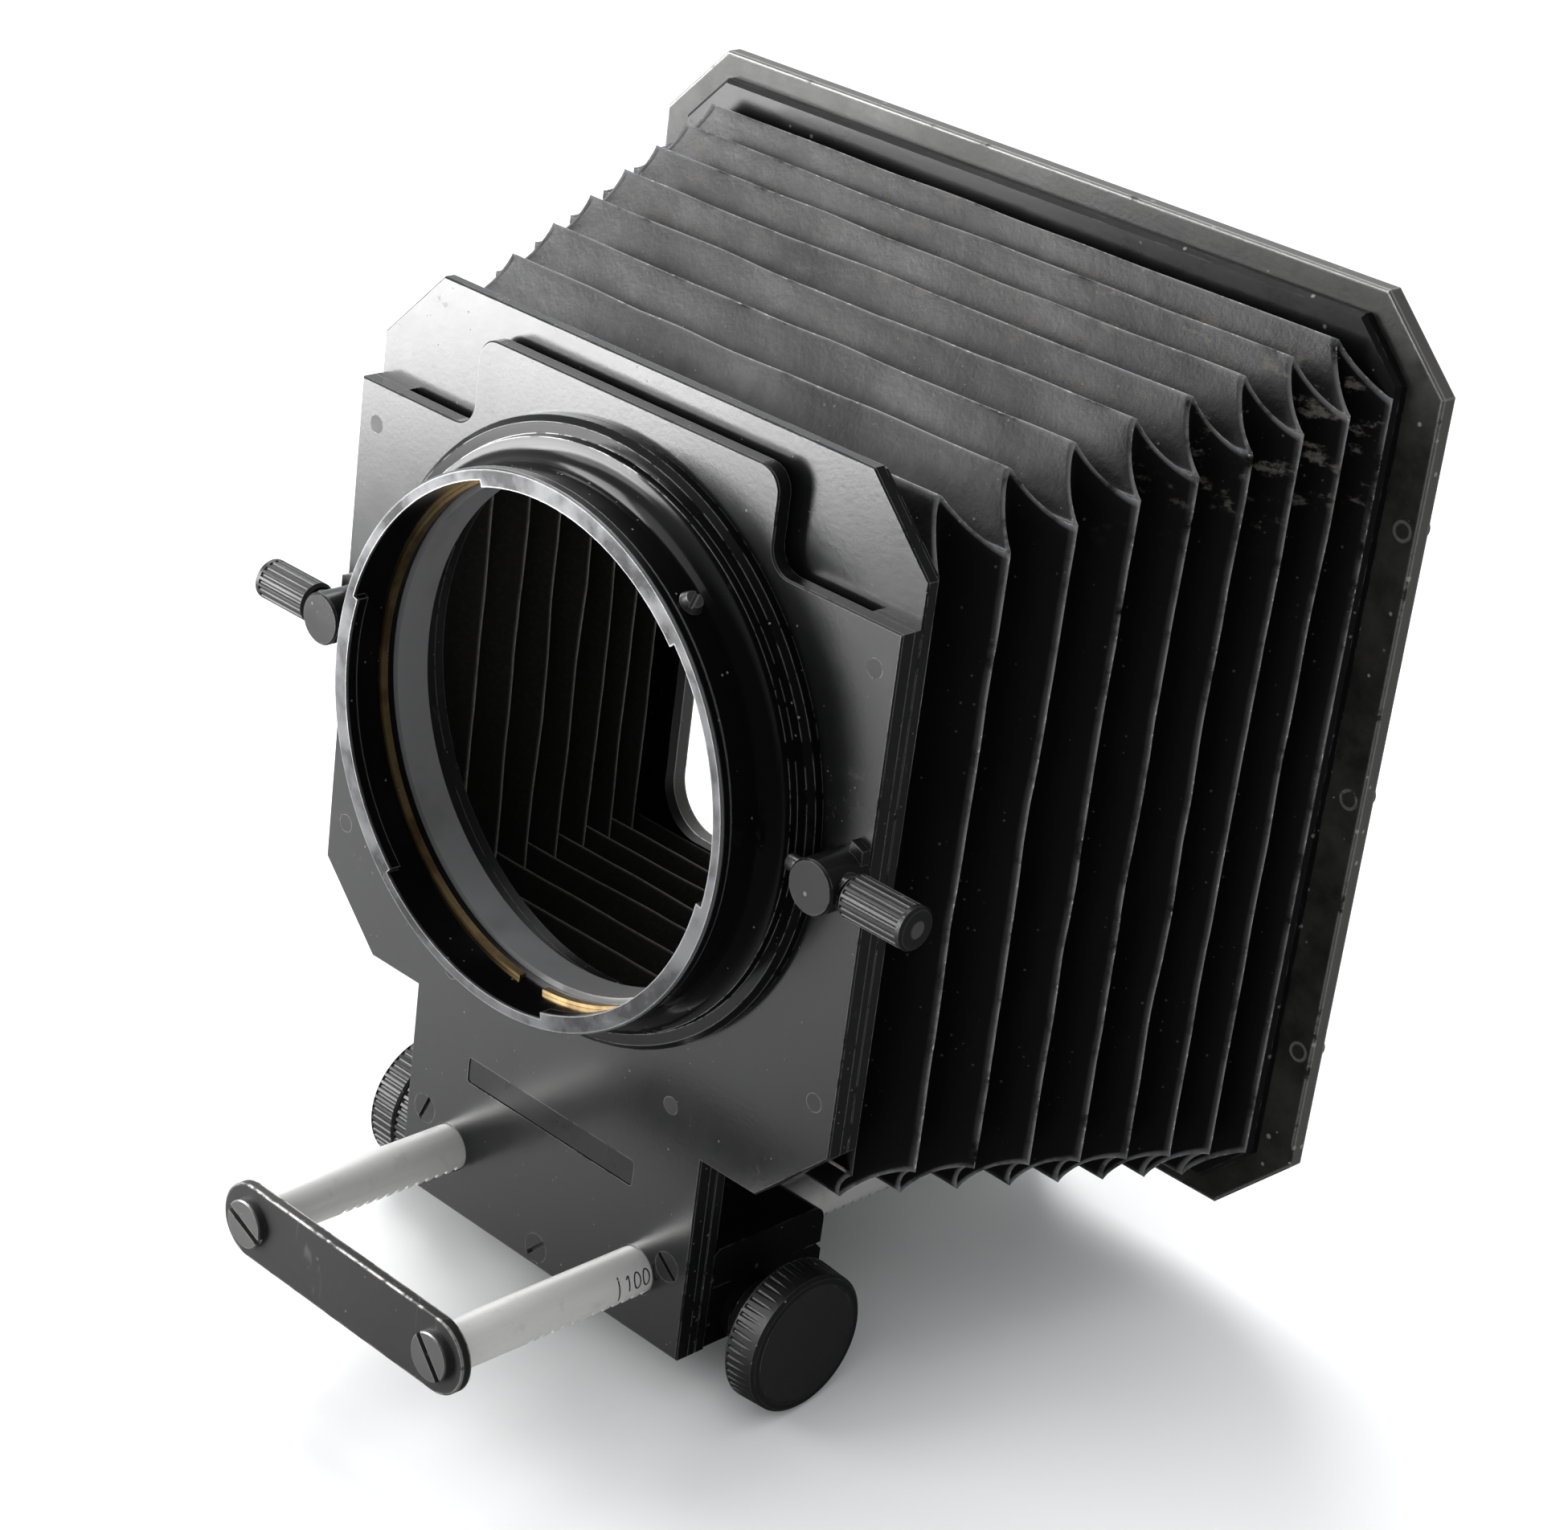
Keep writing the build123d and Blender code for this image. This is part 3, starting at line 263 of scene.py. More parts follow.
def edge_wear_effect():
    """Bare strip along edges: where the normal rounded over Width leaves the face's own, broken up
    by patches of noise; Bare runs from 0, a few chips, to 1, a whole line."""
    tree, given, wanted = effect(
        "edge wear", {"Width": 0.0002, "Patch Scale": 300.0, "Bare": 0.5}, "Mask"
    )
    rounded = put(tree, "Bevel", {"Radius": given["Width"]}, samples=4)
    own = put(tree, "NewGeometry").outputs["Normal"]
    turn = put(tree, "VectorMath", {0: rounded.outputs[0], 1: own}, operation="DOT_PRODUCT")
    edge = rise(tree, sum_of(tree, "SUBTRACT", 1.0, turn.outputs["Value"]), 0.015, 0.14)
    patch = noise(tree, given["Patch Scale"], 5.0, 0.65)
    limit = sum_of(tree, "MULTIPLY_ADD", given["Bare"], -0.45)
    tree.nodes[-1].inputs[2].default_value = 0.66
    broken = rise(tree, patch, limit, sum_of(tree, "ADD", limit, 0.1))
    tree.links.new(sum_of(tree, "MULTIPLY", edge, broken), wanted)
    return tree


def dust_effect():
    """Fine specks of many sizes, thicker in patches; Settling from 0, everywhere alike, to 1, only
    on faces that look up."""
    tree, given, wanted = effect(
        "dust", {"Scale": 900.0, "Density": 0.3, "Settling": 0.7}, "Mask"
    )
    cells = put(tree, "TexVoronoi", {"Scale": given["Scale"], "Vector": place(tree)})
    chance = put(tree, "SeparateColor", {0: cells.outputs["Color"]}).outputs[0]
    patch = rise(tree, noise(tree, 60.0, 3.0), 0.38, 0.7)
    amount = sum_of(tree, "MULTIPLY", given["Density"], sum_of(tree, "ADD", patch, 0.35))
    rare = rise(tree, chance, sum_of(tree, "SUBTRACT", 1.0, amount), 1.0, smooth=False)
    size = sum_of(tree, "MULTIPLY", rare, 0.34)
    speck = rise(tree, cells.outputs["Distance"], size, sum_of(tree, "MULTIPLY", size, 0.5))
    own = put(tree, "NewGeometry").outputs["Normal"]
    upward = put(
        tree, "VectorMath", {0: own, 1: tuple(floor_up)}, operation="DOT_PRODUCT"
    ).outputs["Value"]
    facing = rise(tree, upward, -0.1, 0.8)
    kept = put(
        tree, "Mix", {"Factor": given["Settling"], "A": 1.0, "B": facing}, data_type="FLOAT"
    ).outputs[0]
    tree.links.new(sum_of(tree, "MULTIPLY", speck, kept, clamp=True), wanted)
    return tree


def scratch_effect():
    """Hairlines: the level lines of a noise stretched along one direction, in a few patches."""
    tree, given, wanted = effect("scratches", {"Scale": 120.0, "Amount": 0.4}, "Mask")
    slanted = put(
        tree,
        "Mapping",
        {"Vector": place(tree), "Rotation": (0.3, 0.5, 0.9), "Scale": (1.0, 0.5, 0.07)},
    ).outputs[0]
    lines = noise(tree, given["Scale"], 2.0, 0.5, slanted)
    near = sum_of(tree, "ABSOLUTE", sum_of(tree, "SUBTRACT", lines, 0.5))
    thin = rise(tree, near, 0.006, 0.001)
    low = sum_of(tree, "SUBTRACT", 0.8, sum_of(tree, "MULTIPLY", given["Amount"], 0.4))
    patch = rise(tree, noise(tree, 90.0, 3.0), low, sum_of(tree, "ADD", low, 0.12))
    tree.links.new(sum_of(tree, "MULTIPLY", thin, patch), wanted)
    return tree


def smudge_effect():
    """Slow cloudy change with a finer one on top, from 0 to 1, for handled surfaces."""
    tree, given, wanted = effect("smudges", {"Scale": 45.0}, "Value")
    broad = noise(tree, given["Scale"], 4.0, 0.6)
    fine = noise(tree, sum_of(tree, "MULTIPLY", given["Scale"], 9.0), 2.0)
    both = sum_of(tree, "MULTIPLY_ADD", broad, 0.75)
    tree.links.new(sum_of(tree, "MULTIPLY", fine, 0.25), tree.nodes[-2].inputs[2])
    tree.links.new(rise(tree, both, 0.25, 0.75, smooth=False), wanted)
    return tree


EDGE_WEAR = edge_wear_effect()
DUST = dust_effect()
SCRATCHES = scratch_effect()
SMUDGES = smudge_effect()

# Finishes ----------------------------------------------------------------------------------------

BARE_METAL = (0.42, 0.41, 0.40)
DUST_GREY = (0.24, 0.23, 0.21)


class Finish:
    """One material, built up in layers over a ground colour."""

    def __init__(self, name, colour, roughness, metallic=0.0, **fixed):
        self.material = bpy.data.materials.new(name)
        self.material.use_nodes = True
        self.tree = self.material.node_tree
        self.shader = self.tree.nodes["Principled BSDF"]
        for label, value in fixed.items():
            self.shader.inputs[label.replace("_", " ")].default_value = value
        self.now = {"Base Color": (*colour, 1.0), "Roughness": roughness, "Metallic": metallic}
        self.normal = None

    def use(self, group, output=0, **values):
        """The output of a shared effect with these values."""
        made = put(self.tree, "Group", node_tree=group)
        for label, value in values.items():
            made.inputs[label.replace("_", " ")].default_value = value
        return made.outputs[output]

    def layer(self, mask, strength=1.0, colour=None, roughness=None, metallic=None):
        """Lays a colour, roughness or metallic value over what is there, where mask is 1."""
        tree = self.tree
        if strength != 1.0:
            mask = sum_of(tree, "MULTIPLY", mask, strength, clamp=True)
        wanted = {
            "Base Color": (*colour, 1.0) if colour else None,
            "Roughness": roughness,
            "Metallic": metallic,
        }
        for label, value in wanted.items():
            if value is None:
                continue
            kind = "RGBA" if label == "Base Color" else "FLOAT"
            made = put(tree, "Mix", data_type=kind, clamp_factor=True)
            tree.links.new(mask, made.inputs[0])
            low, high = (6, 7) if kind == "RGBA" else (2, 3)
            for number, given in ((low, self.now[label]), (high, value)):
                if isinstance(given, bpy.types.NodeSocket):
                    tree.links.new(given, made.inputs[number])
                else:
                    made.inputs[number].default_value = given
            self.now[label] = made.outputs[2 if kind == "RGBA" else 0]
        return self

    def bump(self, height, depth, strength=1.0):
        """Raises the surface by depth where height is 1."""
        made = put(
            self.tree, "Bump", {"Height": height, "Distance": depth, "Strength": strength}
        )
        if self.normal is not None:
            self.tree.links.new(self.normal, made.inputs["Normal"])
        self.normal = made.outputs[0]
        return self

    def grain(self, scale, depth, detail=2.0, roughness=0.6):
        return self.bump(noise(self.tree, scale, detail, roughness), depth)

    def handled(self, scale, spread):
        """Roughness goes up and down by spread in slow clouds."""
        value = self.use(SMUDGES, Scale=scale)
        base = self.now["Roughness"]
        shift = sum_of(self.tree, "MULTIPLY", sum_of(self.tree, "SUBTRACT", value, 0.5), spread)
        self.now["Roughness"] = sum_of(self.tree, "ADD", shift, base, clamp=True)
        return self

    def worn(
        self, width, scale, bare, colour=BARE_METAL, strength=1.0, roughness=0.38, metallic=0.9
    ):
        mask = self.use(EDGE_WEAR, Width=width, Patch_Scale=scale, Bare=bare)
        return self.layer(mask, strength, colour, roughness, metallic)

    def dusty(self, scale, density, settling, colour=DUST_GREY, strength=0.8):
        mask = self.use(DUST, Scale=scale, Density=density, Settling=settling)
        return self.layer(mask, strength, colour, 0.9, 0.0)

    def scratched(self, scale, amount, colour, strength=0.6, roughness=0.4):
        mask = self.use(SCRATCHES, Scale=scale, Amount=amount)
        return self.layer(mask, strength, colour, roughness)

    def done(self):
        for label, value in self.now.items():
            if isinstance(value, bpy.types.NodeSocket):
                self.tree.links.new(value, self.shader.inputs[label])
            else:
                self.shader.inputs[label].default_value = value
        if self.normal is not None:
            self.tree.links.new(self.normal, self.shader.inputs["Normal"])
        return self.material


def along_axis(tree, axis):
    return put(tree, "SeparateXYZ", {0: place(tree)}).outputs[axis]


def plate_finish():
    """Satin black sheet, with grey rub marks and a little brown tarnish near its top edge."""
    made = Finish("satin_black_sheet", (0.005, 0.0052, 0.0056), 0.23, Specular_IOR_Level=0.62)
    made.handled(38.0, 0.12).grain(1500.0, 0.000008)
    tree = made.tree
    near_top = rise(tree, along_axis(tree, 2), 0.030, 0.042)
    stains = rise(tree, noise(tree, 150.0, 5.0, 0.7), 0.62, 0.72)
    tarnish = sum_of(tree, "MULTIPLY", stains, near_top)
    made.layer(tarnish, 0.75, (0.13, 0.10, 0.06), 0.6)
    rub = sum_of(
        tree,
        "MULTIPLY",
        rise(tree, noise(tree, 330.0, 4.0, 0.7), 0.55, 0.75),
        rise(tree, noise(tree, 45.0, 2.0), 0.52, 0.7),
    )
    made.layer(rub, 0.5, (0.035, 0.034, 0.032), 0.5)
    made.worn(0.00018, 260.0, 0.56, (0.30, 0.29, 0.285), 0.8)
    made.scratched(150.0, 0.35, (0.10, 0.10, 0.10), 0.5)
    made.dusty(1700.0, 0.07, 0.4, strength=0.5)
    return made.done()


def ring_finish():
    """Glossy black turned metal; the lens-side face is rubbed to grey."""
    low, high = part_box("mounting_ring")
    made = Finish("glossy_black_turning", (0.002, 0.002, 0.0023), 0.16, Specular_IOR_Level=0.22)
    tree = made.tree
    made.handled(60.0, 0.08)
    y = along_axis(tree, 1)
    face = rise(tree, y, low.y + 0.0005, low.y + 0.0001)
    near_face = rise(tree, y, low.y + 0.0032, low.y + 0.0022)
    turned = noise(tree, 9000.0, 1.0, 0.5, put(
        tree, "CombineXYZ", {0: radius_from_axis(tree), 1: y}
    ).outputs[0])
    rubbed = rise(tree, noise(tree, 140.0, 4.0, 0.6), 0.3, 0.62)
    made.layer(sum_of(tree, "MULTIPLY", face, rubbed), 0.9, (0.15, 0.15, 0.155), 0.42, 0.8)
    made.layer(sum_of(tree, "MULTIPLY", face, turned), 0.5, (0.11, 0.11, 0.115), 0.42)
    worn_rims = made.use(EDGE_WEAR, Width=0.0003, Patch_Scale=330.0, Bare=0.85)
    made.layer(sum_of(tree, "MULTIPLY", worn_rims, near_face), 0.9, (0.50, 0.50, 0.49), 0.34, 1.0)
    made.worn(0.0002, 300.0, 0.55, (0.36, 0.36, 0.37), 0.9)
    made.dusty(1700.0, 0.06, 0.4, strength=0.6)
    made.bump(turned, 0.000004)
    return made.done()


def radius_from_axis(tree):
    """Distance from the shade's axis, in the plane across it."""
    flat = put(
        tree, "VectorMath", {0: place(tree), 1: (1, 0, 1)}, operation="MULTIPLY"
    ).outputs[0]
    return put(tree, "VectorMath", {0: flat}, operation="LENGTH").outputs["Value"]


def turned_grey_finish():
    """Fine turned grey of the liner behind the lugs."""
    made = Finish("turned_grey", (0.34, 0.34, 0.345), 0.4, 0.5)
    tree = made.tree
    y = along_axis(tree, 1)
    rings = noise(tree, 12000.0, 1.0, 0.5, put(tree, "CombineXYZ", {1: y}).outputs[0])
    made.layer(rings, 0.35, (0.07, 0.07, 0.075)).bump(rings, 0.000004)
    made.layer(rise(tree, noise(tree, 70.0, 3.0), 0.5, 0.75), 0.4, (0.05, 0.05, 0.05), 0.5)
    return made.done()


def spring_finish():
    """Yellow spring bronze, brown in places."""
    made = Finish("spring_bronze", (0.50, 0.36, 0.17), 0.3, 0.95)
    made.handled(200.0, 0.2)
    brown = rise(made.tree, noise(made.tree, 160.0, 4.0), 0.42, 0.66)
    made.layer(brown, 0.75, (0.14, 0.08, 0.035), 0.45)
    return made.done()


def screw_finish():
    """Blackened steel, rubbed grey on the heads."""
    made = Finish("rubbed_screw_steel", (0.12, 0.12, 0.118), 0.36, 0.9)
    made.handled(260.0, 0.16).grain(3000.0, 0.000004)
    made.worn(0.0002, 420.0, 0.7, (0.5, 0.5, 0.49), 0.8)
    made.scratched(500.0, 0.6, (0.45, 0.45, 0.44), 0.6, 0.3)
    made.dusty(1100.0, 0.1, 0.2)
    return made.done()


def plate_screw_finish():
    """Screws and rivets blackened with the sheet they hold."""
    made = Finish("blackened_screws", (0.012, 0.012, 0.012), 0.4, Specular_IOR_Level=0.35)
    made.handled(200.0, 0.2).grain(2200.0, 0.000008)
    made.worn(0.00014, 500.0, 0.5, (0.16, 0.155, 0.15), 0.8)
    return made.done()


def knob_finish():
    """Black moulding; the rib tips are rubbed and dusty."""
    made = Finish("black_knob_moulding", (0.010, 0.010, 0.0105), 0.4, Specular_IOR_Level=0.3)
    made.handled(150.0, 0.2).grain(2500.0, 0.00001)
    made.worn(0.00014, 700.0, 0.7, (0.085, 0.085, 0.08), 0.8, 0.6, 0.0)
    made.dusty(1200.0, 0.22, 0.2, strength=0.55)
    return made.done()


def knob_disc_finish():
    """Even fine grain, like the skin of a moulding from a blasted tool."""
    made = Finish("grained_disc", (0.018, 0.0175, 0.0175), 0.46, Specular_IOR_Level=0.3)
    made.grain(4200.0, 0.00004, 1.0)
    made.worn(0.0002, 500.0, 0.35, (0.14, 0.14, 0.135), 0.7, 0.6, 0.0)
    made.dusty(500.0, 0.10, 0.0)
    return made.done()


def housing_finish():
    made = Finish("black_enamel", (0.004, 0.004, 0.0045), 0.3, Specular_IOR_Level=0.25)
    made.handled(50.0, 0.12).grain(1200.0, 0.00001)
    made.worn(0.0002, 300.0, 0.35, (0.12, 0.12, 0.12), 0.7, 0.4, 0.2)
    made.dusty(800.0, 0.2, 0.7)
    return made.done()


def catch_finish():
    made = Finish("black_catch_enamel", (0.007, 0.007, 0.0075), 0.25, Specular_IOR_Level=0.4)
    made.handled(120.0, 0.12)
    made.worn(0.00018, 420.0, 0.6, (0.22, 0.22, 0.215), 0.8)
    made.dusty(1000.0, 0.12, 0.4)
    return made.done()


def steel_finish():
    made = Finish("ground_steel", (0.42, 0.42, 0.41), 0.3, 1.0)
    made.handled(200.0, 0.15)
    return made.done()


def brass_finish():
    made = Finish("turned_brass", (0.55, 0.40, 0.18), 0.32, 1.0)
    made.handled(200.0, 0.2)
    return made.done()


def rod_finish():
    """Satin natural aluminium, faintly drawn along its length, with small marks."""
    made = Finish("satin_aluminium", (0.86, 0.855, 0.835), 0.42, 0.45)
    tree = made.tree
    drawn = put(
        tree, "Mapping", {"Vector": place(tree), "Scale": (1.0, 0.04, 1.0)}
    ).outputs[0]
    lines = noise(tree, 5200.0, 2.0, 0.6, drawn)
    made.handled(90.0, 0.14)
    made.layer(lines, 0.3, (0.68, 0.67, 0.65)).bump(lines, 0.000004)
    made.layer(rise(tree, noise(tree, 260.0, 5.0, 0.7), 0.56, 0.72), 0.3, (0.50, 0.48, 0.45), 0.5)
    made.scratched(300.0, 0.4, (0.3, 0.29, 0.28), 0.5)
    return made.done()


def end_plate_finish():
    """Black paint that has chipped to bare metal along its rim."""
    made = Finish("chipped_black_paint", (0.012, 0.0115, 0.0115), 0.44, Specular_IOR_Level=0.34)
    made.handled(70.0, 0.16).grain(1300.0, 0.000012)
    made.worn(0.0004, 420.0, 0.54, (0.66, 0.65, 0.62), 1.0)
    made.scratched(170.0, 0.75, (0.10, 0.095, 0.09), 0.7)
    made.dusty(700.0, 0.14, 0.2)
    return made.done()


def frame_finish():
    """Worn black paint: brownish and grained on the lens-side face, bare at the corners."""
    made = Finish("worn_black_frame", (0.008, 0.008, 0.0078), 0.36, Specular_IOR_Level=0.3)
    tree = made.tree
    made.handled(60.0, 0.2).grain(1600.0, 0.00002, 4.0)
    own = put(tree, "NewGeometry").outputs["Normal"]
    towards_lens = put(
        tree, "VectorMath", {0: own, 1: (0, -1, 0)}, operation="DOT_PRODUCT"
    ).outputs["Value"]
    grimy = sum_of(
        tree,
        "MULTIPLY",
        rise(tree, towards_lens, 0.5, 0.9),
        rise(tree, noise(tree, 120.0, 6.0, 0.75), 0.3, 0.7),
    )
    made.layer(grimy, 0.8, (0.030, 0.029, 0.024), 0.46)
    across = rise(tree, sum_of(tree, "ABSOLUTE", towards_lens), 0.6, 0.3)
    made.layer(across, 0.7, (0.085, 0.082, 0.078), 0.4)
    made.worn(0.00045, 300.0, 0.72, (0.60, 0.60, 0.59), 1.0)
    made.dusty(800.0, 0.3, 0.3, (0.3, 0.29, 0.25), 0.7)
    return made.done()


def leatherette_finish():
    """Black coated cloth: fine grain, drawn lighter towards the fold ridges and darker in the
    valleys as painted shade, light along the folds partly from rubbing and partly as a painted
    highlight, dust on what faces up.
    """
    made = Finish(
        "black_leatherette", (0.0020, 0.0019, 0.0018), 0.36, Specular_IOR_Level=0.2
    )
    tree = made.tree
    ridge = put(tree, "Attribute", attribute_name="ridge").outputs["Fac"]
    depth = put(tree, "Attribute", attribute_name="depth").outputs["Fac"]
    made.handled(55.0, 0.2)
    # Painted shade: lighter towards each fold ridge, darker down in the valleys between the folds.
    made.layer(rise(tree, depth, 0.8, 0.1), 0.6, (0.0045, 0.0044, 0.0045))
    # Partly wear and partly a painted highlight: light grey along the fold ridges and corners in
    # patches (rubbed), with paler spots right on the ridges (bare).
    patch = rise(tree, noise(tree, 200.0, 5.0, 0.7), 0.30, 0.55)
    rubbed = sum_of(tree, "MULTIPLY", ridge, patch)
    made.layer(rubbed, 0.85, (0.20, 0.20, 0.205), 0.34)
    bare = sum_of(
        tree,
        "MULTIPLY",
        rise(tree, ridge, 0.6, 0.95),
        rise(tree, noise(tree, 900.0, 4.0, 0.7), 0.56, 0.66),
    )
    made.layer(bare, 0.8, (0.42, 0.41, 0.40), 0.45)
    near_frame = rise(tree, along_axis(tree, 1), 0.022, 0.056)
    streaks = noise(
        tree, 420.0, 5.0, 0.7, put(
            tree, "Mapping", {"Vector": place(tree), "Scale": (0.4, 1.0, 1.0)}
        ).outputs[0]
    )
    dirt = sum_of(tree, "MULTIPLY", rise(tree, streaks, 0.56, 0.68), near_frame)
    above = rise(tree, along_axis(tree, 2), 0.030, 0.040)
    made.layer(sum_of(tree, "MULTIPLY", dirt, above), 0.55, (0.15, 0.14, 0.115), 0.7)
    made.dusty(1500.0, 0.16, 0.9, (0.22, 0.21, 0.18), 0.6)
    made.scratched(110.0, 0.25, (0.06, 0.057, 0.052), 0.4)
    made.grain(1900.0, 0.000025, 3.0).grain(260.0, 0.00008, 3.0)
    return made.done()


def lining_finish():
    """Flocked black inside of the bellows, a little grey along its inner folds."""
    made = Finish("flocked_lining", (0.024, 0.0225, 0.021), 0.95, Specular_IOR_Level=0.15)
    tree = made.tree
    depth = put(tree, "Attribute", attribute_name="depth").outputs["Fac"]
    fold = rise(tree, depth, 0.90, 0.99)
    made.layer(fold, 0.8, (0.22, 0.21, 0.20))
    made.layer(rise(tree, noise(tree, 1500.0, 3.0), 0.45, 0.7), 0.4, (0.040, 0.038, 0.036))
    made.grain(2600.0, 0.0001, 3.0)
    return made.done()


def engraving_finish():
    made = Finish("black_engraving", (0.012, 0.012, 0.012), 0.6)
    made.layer(noise(made.tree, 4000.0), 0.4, (0.03, 0.03, 0.03))
    return made.done()


def nameplate_finish():
    made = Finish("blank_nameplate", (0.006, 0.006, 0.0065), 0.3, Specular_IOR_Level=0.35)
    made.handled(160.0, 0.14)
    made.worn(0.00012, 500.0, 0.7, (0.15, 0.15, 0.15), 0.7)
    return made.done()


FINISHES = {
    plate_finish: "cover_plate slot_plate slot_spacer bellows_front_frame",
    ring_finish: "mounting_ring",
    turned_grey_finish: "ring_liner",
    spring_finish: "ring_spring",
    screw_finish: "end_plate_screws rod_anchor_screws ring_stop_screw left_knob_screw "
    "focus_knob_grub flange_screws base_screws",
    plate_screw_finish: "tongue_screws plate_rivets",
    knob_finish: "focus_knob lock_ring left_knob catch_knob_left catch_knob_right",
    knob_disc_finish: "knob_disc",
    housing_finish: "drive_housing drive_base base_cover bellows_retainer shaft_bushes",
    catch_finish: "catch_post_left catch_post_right catch_bush_left catch_bush_right",
    steel_finish: "catch_pin_left catch_pin_right catch_spring_left catch_spring_right "
    "pinion_shaft lock_washer",
    brass_finish: "rod_bushes_front rod_bushes_rear pinions",
    rod_finish: "rod_left rod_right",
    end_plate_finish: "end_plate rod_anchor",
    frame_finish: "scene_frame mask_pegs",
    nameplate_finish: "nameplate",
}
for make_finish, names in FINISHES.items():
    material = make_finish()
    for name in names.split():
        nodes[name].data.materials.clear()
        nodes[name].data.materials.append(material)

# Pieces made here --------------------------------------------------------------------------------


def grid_faces(rows, columns, close_rows, close_columns):
    """Quads between neighbouring points of a grid, rows by columns, wrapped where closed."""
    row = np.arange(rows if close_rows else rows - 1)[:, None]
    column = np.arange(columns if close_columns else columns - 1)[None, :]
    below, beside = (row + 1) % rows, (column + 1) % columns
    corners = [
        row * columns + column,
        row * columns + beside,
        below * columns + beside,
        below * columns + column,
    ]
    whole = (row.size, column.size)
    return np.stack([np.broadcast_to(c, whole) for c in corners], -1).reshape(-1, 4)


def signed_volume(points, faces):
    a, b, c, d = (points[faces[:, i]] for i in range(4))
    return float((a * np.cross(b, c)).sum() + (a * np.cross(c, d)).sum()) / 6


def mesh_piece(name, points, faces, materials, face_material=None, marks=None):
    """A mesh object at the origin from points in millimetres; faces are turned outward."""
    points = points.reshape(-1, 3) * MM
    if signed_volume(points, faces) < 0:
        faces = faces[:, ::-1]
    data = bpy.data.meshes.new(name)
    data.vertices.add(len(points))
    data.vertices.foreach_set("co", points.astype(np.float32).ravel())
    data.loops.add(faces.size)
    data.loops.foreach_set("vertex_index", faces.astype(np.int32).ravel())
    data.polygons.add(len(faces))
    data.polygons.foreach_set("loop_start", np.arange(0, faces.size, 4, dtype=np.int32))
    data.polygons.foreach_set("use_smooth", np.ones(len(faces), bool))
    for material in materials:
        data.materials.append(material)
    if face_material is not None:
        data.polygons.foreach_set("material_index", face_material.astype(np.int32).ravel())
    for label, value in (marks or {}).items():
        made = data.attributes.new(label, "FLOAT", "POINT")
        made.data.foreach_set("value", value.astype(np.float32).ravel())
    data.update()
    data.validate()
    made = bpy.data.objects.new(name, data)
    scene.collection.objects.link(made)
    return made


# Bellows cloth

FOLD_STEPS = 16
FOLD_DEPTH = 6.0
FOLD_GATHER = 0.24
CLOTH = 0.45
CORNERS = 4
CORNER_DRAW, CORNER_REACH, CORNER_ZONE = 0.75, 3.0, 12
WAVER, FINE_WAVER = 0.55, 0.10
BILLOW, SAG = 0.28, 0.25
bellows_low, bellows_high = (Vector(c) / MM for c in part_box("bellows"))
bellows_length = bellows_high.y - bellows_low.y
front_sizes = {"half": 43.1, "top": 39.4, "bottom": -45.0}
back_sizes = {"half": bellows_high.x, "top": bellows_high.z, "bottom": bellows_low.z}


def soft_corner(value, radius):
    """The absolute value with its corner rounded: root of value squared plus radius squared."""
    return np.sqrt(value**2 + radius**2) - radius


def fold_depth_at(away, ridge_radius=0.035, valley_radius=0.09):
    """Depth of a fold, 0 on its ridge and 1 in its valley, for a distance away from the ridge in
    half folds: a straight slope with a tight curve at the ridge and a wider one in the valley."""
    slope = soft_corner(away, ridge_radius) / soft_corner(1.0, ridge_radius)
    return 1 - soft_corner(1 - slope, valley_radius) / soft_corner(1.0, valley_radius)


def slow_wave(around, along, count, seed):
    """Sum of a few sines of both parameters with seeded phases, about 1 at most."""
    pick = np.random.default_rng(seed)
    total = np.zeros(np.broadcast(around, along).shape)
    for _ in range(count):
        turns, drift, phase = pick.uniform(3, 15), pick.uniform(-2.6, 2.6), pick.uniform(0, 2 * pi)
        total += np.sin(turns * around + drift * along + phase)
    return total / count


